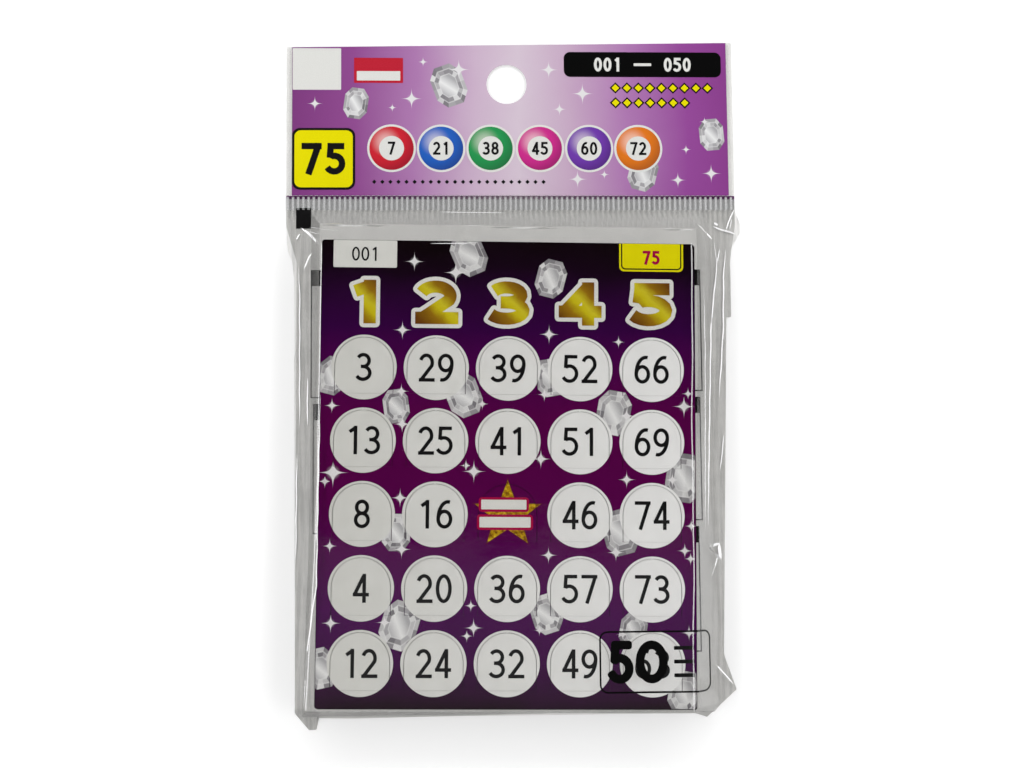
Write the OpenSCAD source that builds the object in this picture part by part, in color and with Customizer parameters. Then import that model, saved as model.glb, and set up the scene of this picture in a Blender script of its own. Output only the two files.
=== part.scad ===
// Hang-sell pack of die-cut bingo cards in a clear film pouch.
// The pack lies on its back: +X to the right, +Y towards the header, +Z out of
// the front card. The origin is under the middle of the whole pack, on the table.

/* [Cards] */
// Width of a card
card_w = 90; // [84:0.5:120]
// Height of a card
card_h = 111.5; // [104:0.5:160]
// Thickness of the card board
card_t = 0.18; // [0.12:0.01:0.4]
// Corner radius of a card
card_r = 0.6; // [0.2:0.1:3]
// Number of cards in the pack
card_count = 50; // [14:1:80]
// Air between neighbouring cards
card_gap = 0.005; // [0.002:0.001:0.02]
// Largest sideways slip of a card in the stack
card_jog = 0.2; // [0:0.05:0.3]

/* [Number flaps] */
// Distance from one flap column to the next
pitch_x = 17.3; // [15:0.1:18]
// Distance from one flap row to the next
pitch_y = 17.55; // [15:0.05:18]
// Distance from the card's bottom edge to the middle of the last row
last_row = 10.5; // [9.5:0.1:20]
// Width of a flap
flap_w = 13.85; // [10:0.05:14.5]
// Height of a flap from its hinge to the top of its arch
flap_h = 13.45; // [9:0.05:14]
// Distance from the number's middle down to the hinge
hinge_drop = 6.3; // [4:0.1:8]
// Width of the die-cut line around a flap
kerf = 0.15; // [0.1:0.01:0.3]
// Gap along the hinge crease
crease_gap = 0.05; // [0.03:0.01:0.1]
// Width of the uncut nick at the top of a flap
nick_w = 0.5; // [0.2:0.1:1.5]
// Gap left where the nick has been broken
nick_gap = 0.05; // [0.03:0.01:0.1]

/* [Film pouch] */
// Thickness of the film
film_t = 0.06; // [0.04:0.01:0.15]
// Height of the film's inside above the front card
film_lift = 1.1; // [1:0.1:3]
// Room between the stack's edges and the film
film_gap = 0.6; // [0.5:0.1:2]
// Rounding of the film over the stack's edges
edge_r = 1.1; // [0.8:0.1:1.5]
// How far the stack can slip towards the header
stack_travel = 2.5; // [0.5:0.1:4]
// Sideways place of the stack in the pouch
stack_x = -1.9; // [-2.2:0.1:2.2]
// Turn of the stack in the pouch, in degrees
stack_turn = -0.8; // [-1:0.1:1]
// Reach of the sloping film beside the stack
side_slope = 4.6; // [3.5:0.1:12]
// Width of the flat weld along each side
side_weld = 3.5; // [1:0.1:8]
// Width of the right weld at the bottom, where the side draws in
right_weld = 1.1; // [0.5:0.1:3.5]
// Reach of the sloping film below the stack
end_slope = 2; // [1.8:0.1:8]
// Width of the flat fold at the bottom
end_fold = 0.4; // [0.2:0.1:2]
// Reach of the sloping film from the stack's play to the crimp
head_slope = 6.7; // [3:0.1:15]
// How far each side spreads from the pouch to the full width at the crimp
flare = 2.6; // [2:0.1:6]
// Length of film at the full width below the crimp
flare_top = 4; // [1:0.5:5]
// Length over which the sides spread
flare_l = 13; // [8:0.5:25]
// How far the right weld stands out where it isn't folded back
weld_step = 1.2; // [0.5:0.1:2]
// Length of the right weld that isn't folded back, from the crimp
weld_step_l = 27; // [26:0.5:60]

/* [Pouch corners] */
// How far the right ear reaches out past the weld at the bottom
right_ear_out = 2.9; // [0.5:0.1:3]
// How far the right ear starts above the bottom fold
right_ear_rise = 14; // [8:0.5:25]
// How far the right ear's tip lies above the bottom fold
right_ear_tip = 5.6; // [2:0.1:7.5]
// How far the right corner is folded back along the bottom
right_ear_cut = 7.2; // [4:0.1:14]
// Width of the right ear's foot on the bottom fold
right_ear_foot = 2.7; // [0.5:0.1:3.5]
// How far the right ear dips below the bottom fold
right_ear_dip = 0.9; // [0.2:0.1:0.9]
// How far the left ear hangs below the bottom fold
left_ear_drop = 2.8; // [1:0.1:5]
// Width of the left ear
left_ear_w = 5.8; // [4:0.1:12]
// Sideways slant of the left ear's inner edge
left_ear_slant = 0.6; // [0.1:0.1:1]
// Width of the left ear's blunt tip
left_ear_tip = 1.7; // [0.5:0.1:2.5]
// How far the left ear starts above the bottom fold
left_ear_rise = 1.2; // [0.5:0.1:8]

/* [Crimp] */
// Height of the crimped seal
crimp_h = 3.55; // [2:0.05:10]
// Distance from one rib to the next
rib_pitch = 1.27; // [1:0.01:3]
// Height of a rib
rib_h = 0.35; // [0.1:0.05:0.8]
// Width of a rib's flat crest
rib_crest = 0.45; // [0.2:0.05:0.55]
// Width of a rib's sloping flank
rib_flank = 0.19; // [0.1:0.01:0.2]

/* [Header] */
// Height of the header above the crimp, at its middle
header_h = 38.35; // [25:0.05:60]
// How far the header's top edge rises from its left end to its right end
header_slant = 1.6; // [0:0.1:3]
// Radius of the hang hole
hole_r = 5; // [3:0.1:8]
// Distance from the header's top edge to the middle of the hang hole
hole_drop = 10.1; // [9:0.1:15]
// Sideways place of the hang hole
hole_x = -1; // [-10:0.1:10]
// Gap along the fold between the crimp and the header
fold_gap = 0.05; // [0.02:0.01:0.2]

/* [Hidden] */
$fn = 48;
eps = 0.01;
rows = 5;
columns = 5;
bundles = 6;
free_row = 3;
free_column = 3;
hull_sides = 32;

// Stack of cards, from the back film up to the front card
card_step = card_t + card_gap;
stack_top = film_t + card_count * card_t + (card_count - 1) * card_gap;
front_card_z = stack_top - card_t;
inner_cards = card_count - 2;

// Plan of the pack, with the origin in the middle of its length
end_reach = end_slope + end_fold;
shoulder = stack_travel + film_gap + head_slope;
header_top = header_h + header_slant / 2;
pack_l = left_ear_drop + end_reach + card_h + shoulder + crimp_h + fold_gap + header_top;
fold_y = -pack_l / 2 + left_ear_drop;
stack_y = fold_y + end_reach + card_h / 2;
crimp_y = stack_y + card_h / 2 + shoulder;
header_y = crimp_y + crimp_h + fold_gap;
rim_w = card_w + 2 * side_slope;
pouch_w = rim_w + 2 * side_weld;
header_w = pouch_w + 2 * flare;
seal_t = 2 * film_t;
// The header's film leaves the crimp at the level of the ribs' crests
header_z = rib_h;

// Crimp ribs, as many as fit across the film
rib_count = floor(header_w / rib_pitch);
rib_step = header_w / rib_count;

function flap_name(row, column) = str("flap_r", row, "c", column);
function bundle_name(i) = str("card_bundle_", i);
function column_x(column) = (column - (columns + 1) / 2) * pitch_x;
function row_y(row) = last_row - card_h / 2 + (rows - row) * pitch_y;
function hinge_y(row) = row_y(row) - hinge_drop;
function first_inner(i) = floor((i - 1) * inner_cards / bundles) + 1;
function slip_x(i) = card_jog * sin(i * 137);
function slip_y(i) = card_jog * cos(i * 101);

// Flat outlines

module card_outline() {
    square([card_w - 2 * card_r, card_h], center = true);
    square([card_w, card_h - 2 * card_r], center = true);
    for (x = [-1, 1], y = [-1, 1])
        translate([x * (card_w / 2 - card_r), y * (card_h / 2 - card_r)]) circle(card_r);
}

// An upright arch that stands on the hinge line, grown outwards by the given amount
module arch(grow = 0) {
    r = flap_w / 2 + grow;
    rise = flap_h - flap_w / 2;
    translate([-r, 0]) square([2 * r, rise]);
    intersection() {
        translate([0, rise]) circle(r);
        translate([-r, 0]) square([2 * r, rise + r]);
    }
}

module at_each_flap() {
    for (row = [1:rows], column = [1:columns])
        translate([column_x(column), hinge_y(row)]) children();
}

// The broken nick reaches from the card towards the top of the flap
module nick() {
    translate([-nick_w / 2, flap_h + nick_gap]) square([nick_w, kerf]);
}

// The hole that a flap leaves in its card
module flap_window() {
    difference() {
        union() {
            arch(kerf);
            translate([-flap_w / 2 - kerf, -crease_gap]) square([flap_w + 2 * kerf, crease_gap + eps]);
        }
        nick();
    }
}

// The cut line of a flap that still hangs on its card by the hinge
module flap_slit() {
    difference() {
        arch(kerf);
        arch();
        nick();
    }
}

// Side welds, bottom fold, the two corner ears and the flare up to the crimp
module film_outline() {
    half = pouch_w / 2;
    wide = header_w / 2;
    ear_x = left_ear_w - half;
    right_x = rim_w / 2 + right_weld;
    polygon([
        [wide, crimp_y],
        [wide, crimp_y - flare_top],
        [half + weld_step, crimp_y - flare_l],
        [half + weld_step, crimp_y - weld_step_l],
        [half, crimp_y - weld_step_l],
        [right_x, fold_y + right_ear_rise],
        [right_x + right_ear_out, fold_y + right_ear_tip],
        [right_x - right_ear_cut + right_ear_foot, fold_y - right_ear_dip],
        [right_x - right_ear_cut, fold_y],
        [ear_x, fold_y],
        [ear_x - left_ear_slant, fold_y - left_ear_drop],
        [ear_x - left_ear_slant - left_ear_tip, fold_y - left_ear_drop],
        [-half, fold_y + left_ear_rise],
        [-half, crimp_y - flare_l],
        [-wide, crimp_y - flare_top],
        [-wide, crimp_y]
    ]);
}

// Placing

module in_stack(z) {
    translate([stack_x, stack_y, z]) rotate([0, 0, stack_turn]) children();
}

// Space under the front film, shrunk inwards by the given amount
module dome(inset) {
    r = edge_r - inset;
    half_x = card_w / 2 + film_gap - edge_r;
    top_y = card_h / 2 + stack_travel + film_gap - edge_r;
    bottom_y = -card_h / 2 - film_gap + edge_r;
    foot_w = rim_w - 2 * inset;
    foot_bottom = fold_y + end_fold + inset;
    foot_top = crimp_y - end_fold - inset;
    top_z = stack_top + film_lift + film_t;
    hull() {
        translate([-foot_w / 2, foot_bottom, film_t - inset])
            cube([foot_w, foot_top - foot_bottom, film_t]);
        in_stack(top_z - edge_r)
            for (x = [-half_x, half_x], y = [bottom_y, top_y])
                translate([x, y]) sphere(r, $fn = hull_sides);
    }
}

// Film

module back_film() {
    color("gainsboro", 0.4) linear_extrude(film_t) film_outline();
}

module front_film() {
    color("white", 0.3) difference() {
        union() {
            translate([0, 0, film_t]) linear_extrude(film_t) film_outline();
            dome(0);
        }
        dome(film_t);
    }
}

// Both layers pressed into one ribbed strip
module crimp_seal() {
    rib = [[0, 0], [rib_flank, rib_h], [rib_flank + rib_crest, rib_h], [2 * rib_flank + rib_crest, 0]];
    ribs = [for (i = [0:rib_count - 1], p = rib) [i * rib_step - header_w / 2, 0] + p];
    under = concat(ribs, [[header_w / 2, 0]]);
    over = [for (i = [len(under) - 1:-1:0]) under[i] + [0, seal_t]];
    color("silver", 0.6)
        translate([0, crimp_y + crimp_h, 0]) rotate([90, 0, 0])
            linear_extrude(crimp_h) polygon(concat(under, over));
}

module header_sheet(z) {
    half = header_w / 2;
    translate([0, header_y, z]) linear_extrude(film_t) difference() {
        polygon([[-half, 0], [half, 0], [half, header_top], [-half, header_top - header_slant]]);
        translate([hole_x, header_h - hole_drop]) circle(hole_r);
    }
}

module header_back_film() {
    color("gainsboro", 0.5) header_sheet(header_z);
}

module header_front_film() {
    color("mediumorchid") header_sheet(header_z + film_t);
}

// Cards

module front_card() {
    color("indigo") in_stack(front_card_z) linear_extrude(card_t) difference() {
        card_outline();
        at_each_flap() flap_window();
    }
}

module flap(row, column) {
    is_free = row == free_row && column == free_column;
    color(is_free ? "gold" : "whitesmoke") in_stack(front_card_z)
        translate([column_x(column), hinge_y(row)]) linear_extrude(card_t) arch();
}

// One bundle of the loose cards between the last card and the front card
module card_bundle(i) {
    color("white") for (k = [first_inner(i):first_inner(i + 1) - 1])
        in_stack(film_t + k * card_step)
            translate([slip_x(k), slip_y(k)]) linear_extrude(card_t) card_outline();
}

module last_card() {
    color("white") in_stack(film_t) linear_extrude(card_t) difference() {
        card_outline();
        at_each_flap() flap_slit();
    }
}

back_film();
front_film();
crimp_seal();
header_back_film();
header_front_film();
front_card();
for (row = [1:rows], column = [1:columns])
    flap(row, column);
for (i = [1:bundles])
    card_bundle(i);
last_card();
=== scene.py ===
"""Looks of a hang-sell pack of bingo cards: print, numbers, clear film, header and studio."""

import logging
import math
from collections.abc import Sequence
from dataclasses import dataclass
from enum import Enum

import bmesh
import bpy
import numpy as np
from bpy.types import Material, Mesh, Node, NodeSocket, NodeTree, Object, Scene
from mathutils import Euler, Matrix, Vector
from mathutils.geometry import delaunay_2d_cdt


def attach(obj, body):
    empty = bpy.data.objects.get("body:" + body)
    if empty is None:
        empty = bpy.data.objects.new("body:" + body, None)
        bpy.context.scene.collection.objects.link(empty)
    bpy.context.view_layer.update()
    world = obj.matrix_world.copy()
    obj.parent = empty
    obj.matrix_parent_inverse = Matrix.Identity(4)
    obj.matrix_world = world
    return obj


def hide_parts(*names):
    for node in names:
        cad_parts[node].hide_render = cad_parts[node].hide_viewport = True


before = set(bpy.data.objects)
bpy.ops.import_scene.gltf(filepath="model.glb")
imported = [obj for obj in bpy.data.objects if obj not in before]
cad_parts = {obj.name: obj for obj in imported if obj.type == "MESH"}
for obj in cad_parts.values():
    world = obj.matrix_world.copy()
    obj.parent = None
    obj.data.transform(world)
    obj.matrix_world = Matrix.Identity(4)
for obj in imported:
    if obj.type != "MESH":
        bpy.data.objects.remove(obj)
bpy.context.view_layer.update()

LOG = logging.getLogger("bingo_pack")
MM = 0.001
INK_T = 0.02
Point = tuple[float, float]
Colour = tuple[float, float, float]


def srgb(red: int, green: int, blue: int) -> tuple[float, float, float, float]:
    """Turns a colour of 0 to 255 per channel into linear values with full alpha.

    Args:
        red: Red channel.
        green: Green channel.
        blue: Blue channel.

    Returns:
        Linear red, green and blue, and an alpha of 1.
    """
    linear = []
    for channel in (red, green, blue):
        value = channel / 255
        linear.append(value / 12.92 if value <= 0.04045 else ((value + 0.055) / 1.055) ** 2.4)
    return (linear[0], linear[1], linear[2], 1.0)


class Body(str, Enum):
    """Moving bodies that pieces ride on, apart from the flaps."""

    POUCH = "pouch"
    HEADER = "header"
    CARDS = "cards"


class Slot(str, Enum):
    """Material slots of the record."""

    FILM = "clear_film"
    HEADER = "header_print"
    CARD = "card_print"
    FLAP = "flap_print"
    FREE_FLAP = "free_flap_print"


@dataclass(frozen=True)
class Layout:
    """Places and sizes of the pack in the shared frame, in millimetres and degrees."""

    card_w: float = 90.0
    card_h: float = 111.5
    card_top: float = 9.305
    stack_x: float = -1.9
    stack_y: float = -23.675
    turn: float = -0.8
    travel: float = 2.5
    pitch_x: float = 17.3
    pitch_y: float = 17.55
    last_row: float = 10.5
    rows: int = 5
    columns: int = 5
    fold_y: float = -81.825
    crimp_y: float = 41.875
    crimp_h: float = 3.55
    rib_pitch: float = 1.2805
    header_top_z: float = 0.47
    header_w: float = 111.4
    heading_y: float = 40.8
    heading_h: float = 10.6

    def row_y(self, row: int) -> float:
        """Height of a row's middle on the card, counted from row 1 at the top."""
        return self.last_row - self.card_h / 2 + (self.rows - row) * self.pitch_y

    def column_x(self, column: int) -> float:
        """Sideways place of a column's middle on the card."""
        return (column - (self.columns + 1) / 2) * self.pitch_x

    def on_card(self, lift: float = 0.0) -> Matrix:
        """Gives the matrix from card millimetres to the frame.

        Args:
            lift: Height above the card's printed face, in millimetres.

        Returns:
            Matrix that turns, shifts and scales to metres.
        """
        shift = Matrix.Translation((self.stack_x, self.stack_y, self.card_top + lift))
        return Matrix.Scale(MM, 4) @ shift @ Matrix.Rotation(math.radians(self.turn), 4, "Z")

    def on_header(self, lift: float = 0.0) -> Matrix:
        """Gives the matrix from header millimetres to the frame, at a lift above its front."""
        return Matrix.Scale(MM, 4) @ Matrix.Translation((0, 0, self.header_top_z + lift))


class Graph:
    """Builds a node tree with short calls."""

    def __init__(self, tree: NodeTree) -> None:
        """Keeps the tree that the calls add to."""
        self.tree = tree

    def add(self, kind: str, values: dict | None = None, **settings) -> Node:
        """Adds a node.

        Args:
            kind: Node type.
            values: Inputs by name or index, each a number, a colour or another node's socket.
            **settings: Node properties.

        Returns:
            The new node.
        """
        node = self.tree.nodes.new(kind)
        for name, value in settings.items():
            setattr(node, name, value)
        for key, value in (values or {}).items():
            self.put(node.inputs[key], value)
        return node

    def put(self, socket: NodeSocket, value: object) -> None:
        """Links a socket into an input, or sets the input's own value.

        Args:
            socket: Input socket.
            value: Another node's socket, or a plain value.
        """
        if isinstance(value, NodeSocket):
            self.tree.links.new(value, socket)
        else:
            socket.default_value = value

    def math(self, operation: str, *values: object) -> NodeSocket:
        """Adds a Math node on the values and returns its result."""
        return self.add("ShaderNodeMath", dict(enumerate(values)), operation=operation).outputs[0]

    def vector(self, operation: str, *values: object) -> NodeSocket:
        """Adds a Vector Math node on the values and returns its vector."""
        return self.add("ShaderNodeVectorMath", dict(enumerate(values)), operation=operation).outputs[0]

    def parts(self, vector: object) -> tuple:
        """Splits a vector into its three components."""
        return tuple(self.add("ShaderNodeSeparateXYZ", {0: vector}).outputs)

    def length(self, vector: object) -> NodeSocket:
        """Gives the length of a vector."""
        return self.add("ShaderNodeVectorMath", {0: vector}, operation="LENGTH").outputs["Value"]

    def step(self, value: object, low: float, high: float) -> NodeSocket:
        """Rises smoothly from 0 at low to 1 at high; low may be above high.

        Args:
            value: Socket to test.
            low: Value that gives 0.
            high: Value that gives 1.

        Returns:
            Socket with the smooth step.
        """
        node = self.add("ShaderNodeMapRange", {0: value, 1: low, 2: high}, interpolation_type="SMOOTHSTEP")
        return node.outputs[0]

    def mix(self, factor: object, first: object, second: object) -> NodeSocket:
        """Mixes two colours by a factor.

        Args:
            factor: 0 gives the first colour and 1 the second.
            first: First colour.
            second: Second colour.

        Returns:
            Socket with the mixed colour.
        """
        node = self.add("ShaderNodeMix", {0: factor, 6: first, 7: second}, data_type="RGBA")
        return node.outputs[2]

    def ramp(self, factor: object, stops: Sequence[tuple], kind: str = "LINEAR") -> NodeSocket:
        """Adds a colour ramp.

        Args:
            factor: Place along the ramp.
            stops: Pairs of place and colour.
            kind: Interpolation between stops.

        Returns:
            Socket with the ramp's colour.
        """
        node = self.add("ShaderNodeValToRGB", {0: factor})
        elements = node.color_ramp.elements
        node.color_ramp.interpolation = kind
        while len(elements) < len(stops):
            elements.new(1.0)
        for element, (place, colour) in zip(elements, stops):
            element.position = place
            element.color = colour
        return node.outputs[0]

    def noise(self, vector: object, scale: float, detail: float = 3.0) -> NodeSocket:
        """Adds a noise texture and returns its value."""
        node = self.add("ShaderNodeTexNoise", {"Vector": vector, "Scale": scale, "Detail": detail})
        return node.outputs[0]

    def bump(self, height: object, strength: float, distance: float) -> NodeSocket:
        """Adds a bump on a height in metres-long steps and returns its normal."""
        return self.add(
            "ShaderNodeBump", {"Height": height, "Strength": strength, "Distance": distance}
        ).outputs[0]

    def place(self) -> NodeSocket:
        """Place on the piece at rest, in metres."""
        return self.add("ShaderNodeTexCoord").outputs["Object"]

    def millimetres(self) -> NodeSocket:
        """Place on the piece at rest, in millimetres."""
        return self.vector("MULTIPLY", self.place(), (1000.0, 1000.0, 1000.0))

    def distance(self, across: object, along: object) -> NodeSocket:
        """Distance that two flat parts make together."""
        return self.length(self.add("ShaderNodeCombineXYZ", {0: across, 1: along}).outputs[0])

    def facing(self) -> NodeSocket:
        """Upward part of the piece's own surface direction at rest."""
        return self.parts(self.add("ShaderNodeTexCoord").outputs["Normal"])[2]

    def principled(self, values: dict) -> NodeSocket:
        """Adds a Principled shader with these inputs and returns its shader."""
        return self.add("ShaderNodeBsdfPrincipled", values).outputs[0]

    def blend(self, factor: object, first: object, second: object) -> NodeSocket:
        """Mixes two shaders by a factor of 0 to 1."""
        return self.add("ShaderNodeMixShader", {0: factor, 1: first, 2: second}).outputs[0]


def grey(level: float) -> tuple[float, float, float, float]:
    """Linear grey of a level, with full alpha."""
    return (level, level, level, 1.0)


@dataclass(frozen=True)
class Finish:
    """Named finish that becomes one material."""

    name: str

    def make(self) -> Material:
        """Builds the material from the finish's shader.

        Returns:
            The material.
        """
        material = bpy.data.materials.new(self.name)
        material.use_nodes = True
        graph = Graph(material.node_tree)
        graph.tree.nodes.clear()
        output = graph.add("ShaderNodeOutputMaterial")
        graph.put(output.inputs[0], self.shader(graph))
        return material

    def shader(self, graph: Graph) -> NodeSocket:
        """Builds the shader in a graph; each finish has its own."""
        raise NotImplementedError


def card_place(graph: Graph, layout: Layout) -> NodeSocket:
    """Gives the place on the card along its own edges.

    Args:
        graph: Graph of the material.
        layout: Sizes of the pack.

    Returns:
        Socket with millimetres from the card's middle.
    """
    turn = math.radians(-layout.turn)
    shift = Matrix.Rotation(turn, 3, "Z") @ Vector((-layout.stack_x, -layout.stack_y, 0.0))
    values = {
        "Vector": graph.place(),
        "Location": shift,
        "Rotation": (0.0, 0.0, turn),
        "Scale": (1000.0, 1000.0, 1000.0),
    }
    return graph.add("ShaderNodeMapping", values).outputs[0]


@dataclass(frozen=True)
class Ornaments:
    """Step-cut gems and four-point sparkles at set places on a print, in millimetres and degrees.

    Attributes:
        gems: Place, half height and turn of each gem.
        sparks: Place and arm length of each sparkle.
        gem_shape: Width of a gem as a share of its height.
        spread: Size of a sparkle's field as a share of its arm.
    """

    gems: tuple
    sparks: tuple
    gem_shape: float = 0.76
    spread: float = 1.3

    def draw(self, graph: Graph, place: object, ground: object) -> NodeSocket:
        """Lays the ornaments over a ground colour.

        Args:
            graph: Graph of the material.
            place: Flat place in millimetres.
            ground: Colour under the ornaments.

        Returns:
            Socket with the decorated colour.
        """
        flat = graph.vector("MULTIPLY", place, (1.0, 1.0, 0.0))
        gems = [(x, y, high * self.gem_shape, high, turn) for x, y, high, turn in self.gems]
        sparks = [(x, y, arm * self.spread, arm * self.spread, 0.0) for x, y, arm in self.sparks]
        gem_colour, gem_mask = self._gem(graph, self._nearest(graph, flat, gems))
        spark_mask = self._sparkle(graph, self._nearest(graph, flat, sparks))
        return graph.mix(spark_mask, graph.mix(gem_mask, ground, gem_colour), srgb(232, 230, 232))

    @staticmethod
    def _nearest(graph: Graph, place: object, spots: Sequence[tuple]) -> NodeSocket:
        """Gives the place in the nearest spot, as shares of its half sizes.

        Args:
            graph: Graph of the material.
            place: Flat place in millimetres.
            spots: Place, half width, half height and turn of each spot.

        Returns:
            Socket with the place; its third part is the spot's number in thousandths.
        """
        best, least = None, None
        for number, (x, y, wide, high, turn) in enumerate(spots):
            values = {
                "Vector": place,
                "Location": (x, y, -0.001 * number),
                "Rotation": (0.0, 0.0, math.radians(turn)),
                "Scale": (wide, high, 1.0),
            }
            local = graph.add("ShaderNodeMapping", values, vector_type="TEXTURE").outputs[0]
            far = graph.length(local)
            if best is None:
                best, least = local, far
            else:
                best = graph.mix(graph.math("LESS_THAN", far, least), best, local)
                least = graph.math("MINIMUM", far, least)
        return best

    @staticmethod
    def _sparkle(graph: Graph, local: object) -> NodeSocket:
        """Masks a sparkle with four thin arms and a soft middle.

        Args:
            graph: Graph of the material.
            local: Place from the sparkle's middle, as shares of its arm.

        Returns:
            Socket that is 1 inside the sparkle.
        """
        across, along, _ = graph.parts(graph.vector("ABSOLUTE", local))
        arms = graph.math("ADD", graph.math("POWER", across, 0.41), graph.math("POWER", along, 0.41))
        glow = graph.math("MULTIPLY", graph.step(graph.length(local), 0.5, 0.0), 0.6)
        return graph.math("MAXIMUM", graph.step(arms, 1.08, 0.95), glow)

    @staticmethod
    def _gem(graph: Graph, local: object) -> tuple:
        """Draws a step-cut gem with a pale table and grey facets.

        Args:
            graph: Graph of the material.
            local: Place from the gem's middle, as shares of its half sizes.

        Returns:
            Sockets with the gem's colour and its mask.
        """
        across, along, _ = graph.parts(graph.vector("ABSOLUTE", local))
        side_x, side_y, number = graph.parts(local)
        slant = graph.math("DIVIDE", graph.math("ADD", across, along), 1.5)
        straight = graph.math("MAXIMUM", across, along)
        rim = graph.math("MAXIMUM", straight, slant)
        signs = [
            graph.math("GREATER_THAN", slant, straight),
            graph.math("GREATER_THAN", along, across),
            graph.math("GREATER_THAN", side_x, 0.0),
            graph.math("GREATER_THAN", side_y, 0.0),
            graph.math("GREATER_THAN", rim, 0.78),
        ]
        code = graph.math("MULTIPLY", number, 37000.0)
        for power, sign in enumerate(signs):
            code = graph.math("MULTIPLY_ADD", sign, 2.0**power, code)
        facet = graph.add("ShaderNodeTexWhiteNoise", {1: code}, noise_dimensions="1D").outputs["Value"]
        stops = [(0.0, srgb(122, 119, 124)), (0.5, srgb(180, 178, 181)), (1.0, srgb(228, 228, 228))]
        facets = graph.ramp(facet, stops)
        sheen = graph.math("MULTIPLY_ADD", graph.math("ADD", side_x, side_y), 0.5, 0.5)
        stops = [(0.1, srgb(186, 185, 188)), (0.45, srgb(238, 238, 238)), (0.8, srgb(176, 175, 178))]
        table = graph.mix(graph.step(rim, 0.56, 0.52), facets, graph.ramp(sheen, stops))
        edges = []
        for at in (0.54, 0.78):
            off_edge = graph.math("ABSOLUTE", graph.math("SUBTRACT", rim, at))
            edges.append(graph.step(off_edge, 0.04, 0.01))
        edge = graph.math("MULTIPLY", graph.math("MAXIMUM", *edges), 0.5)
        return graph.mix(edge, table, srgb(236, 236, 236)), graph.step(rim, 1.02, 0.98)


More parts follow.
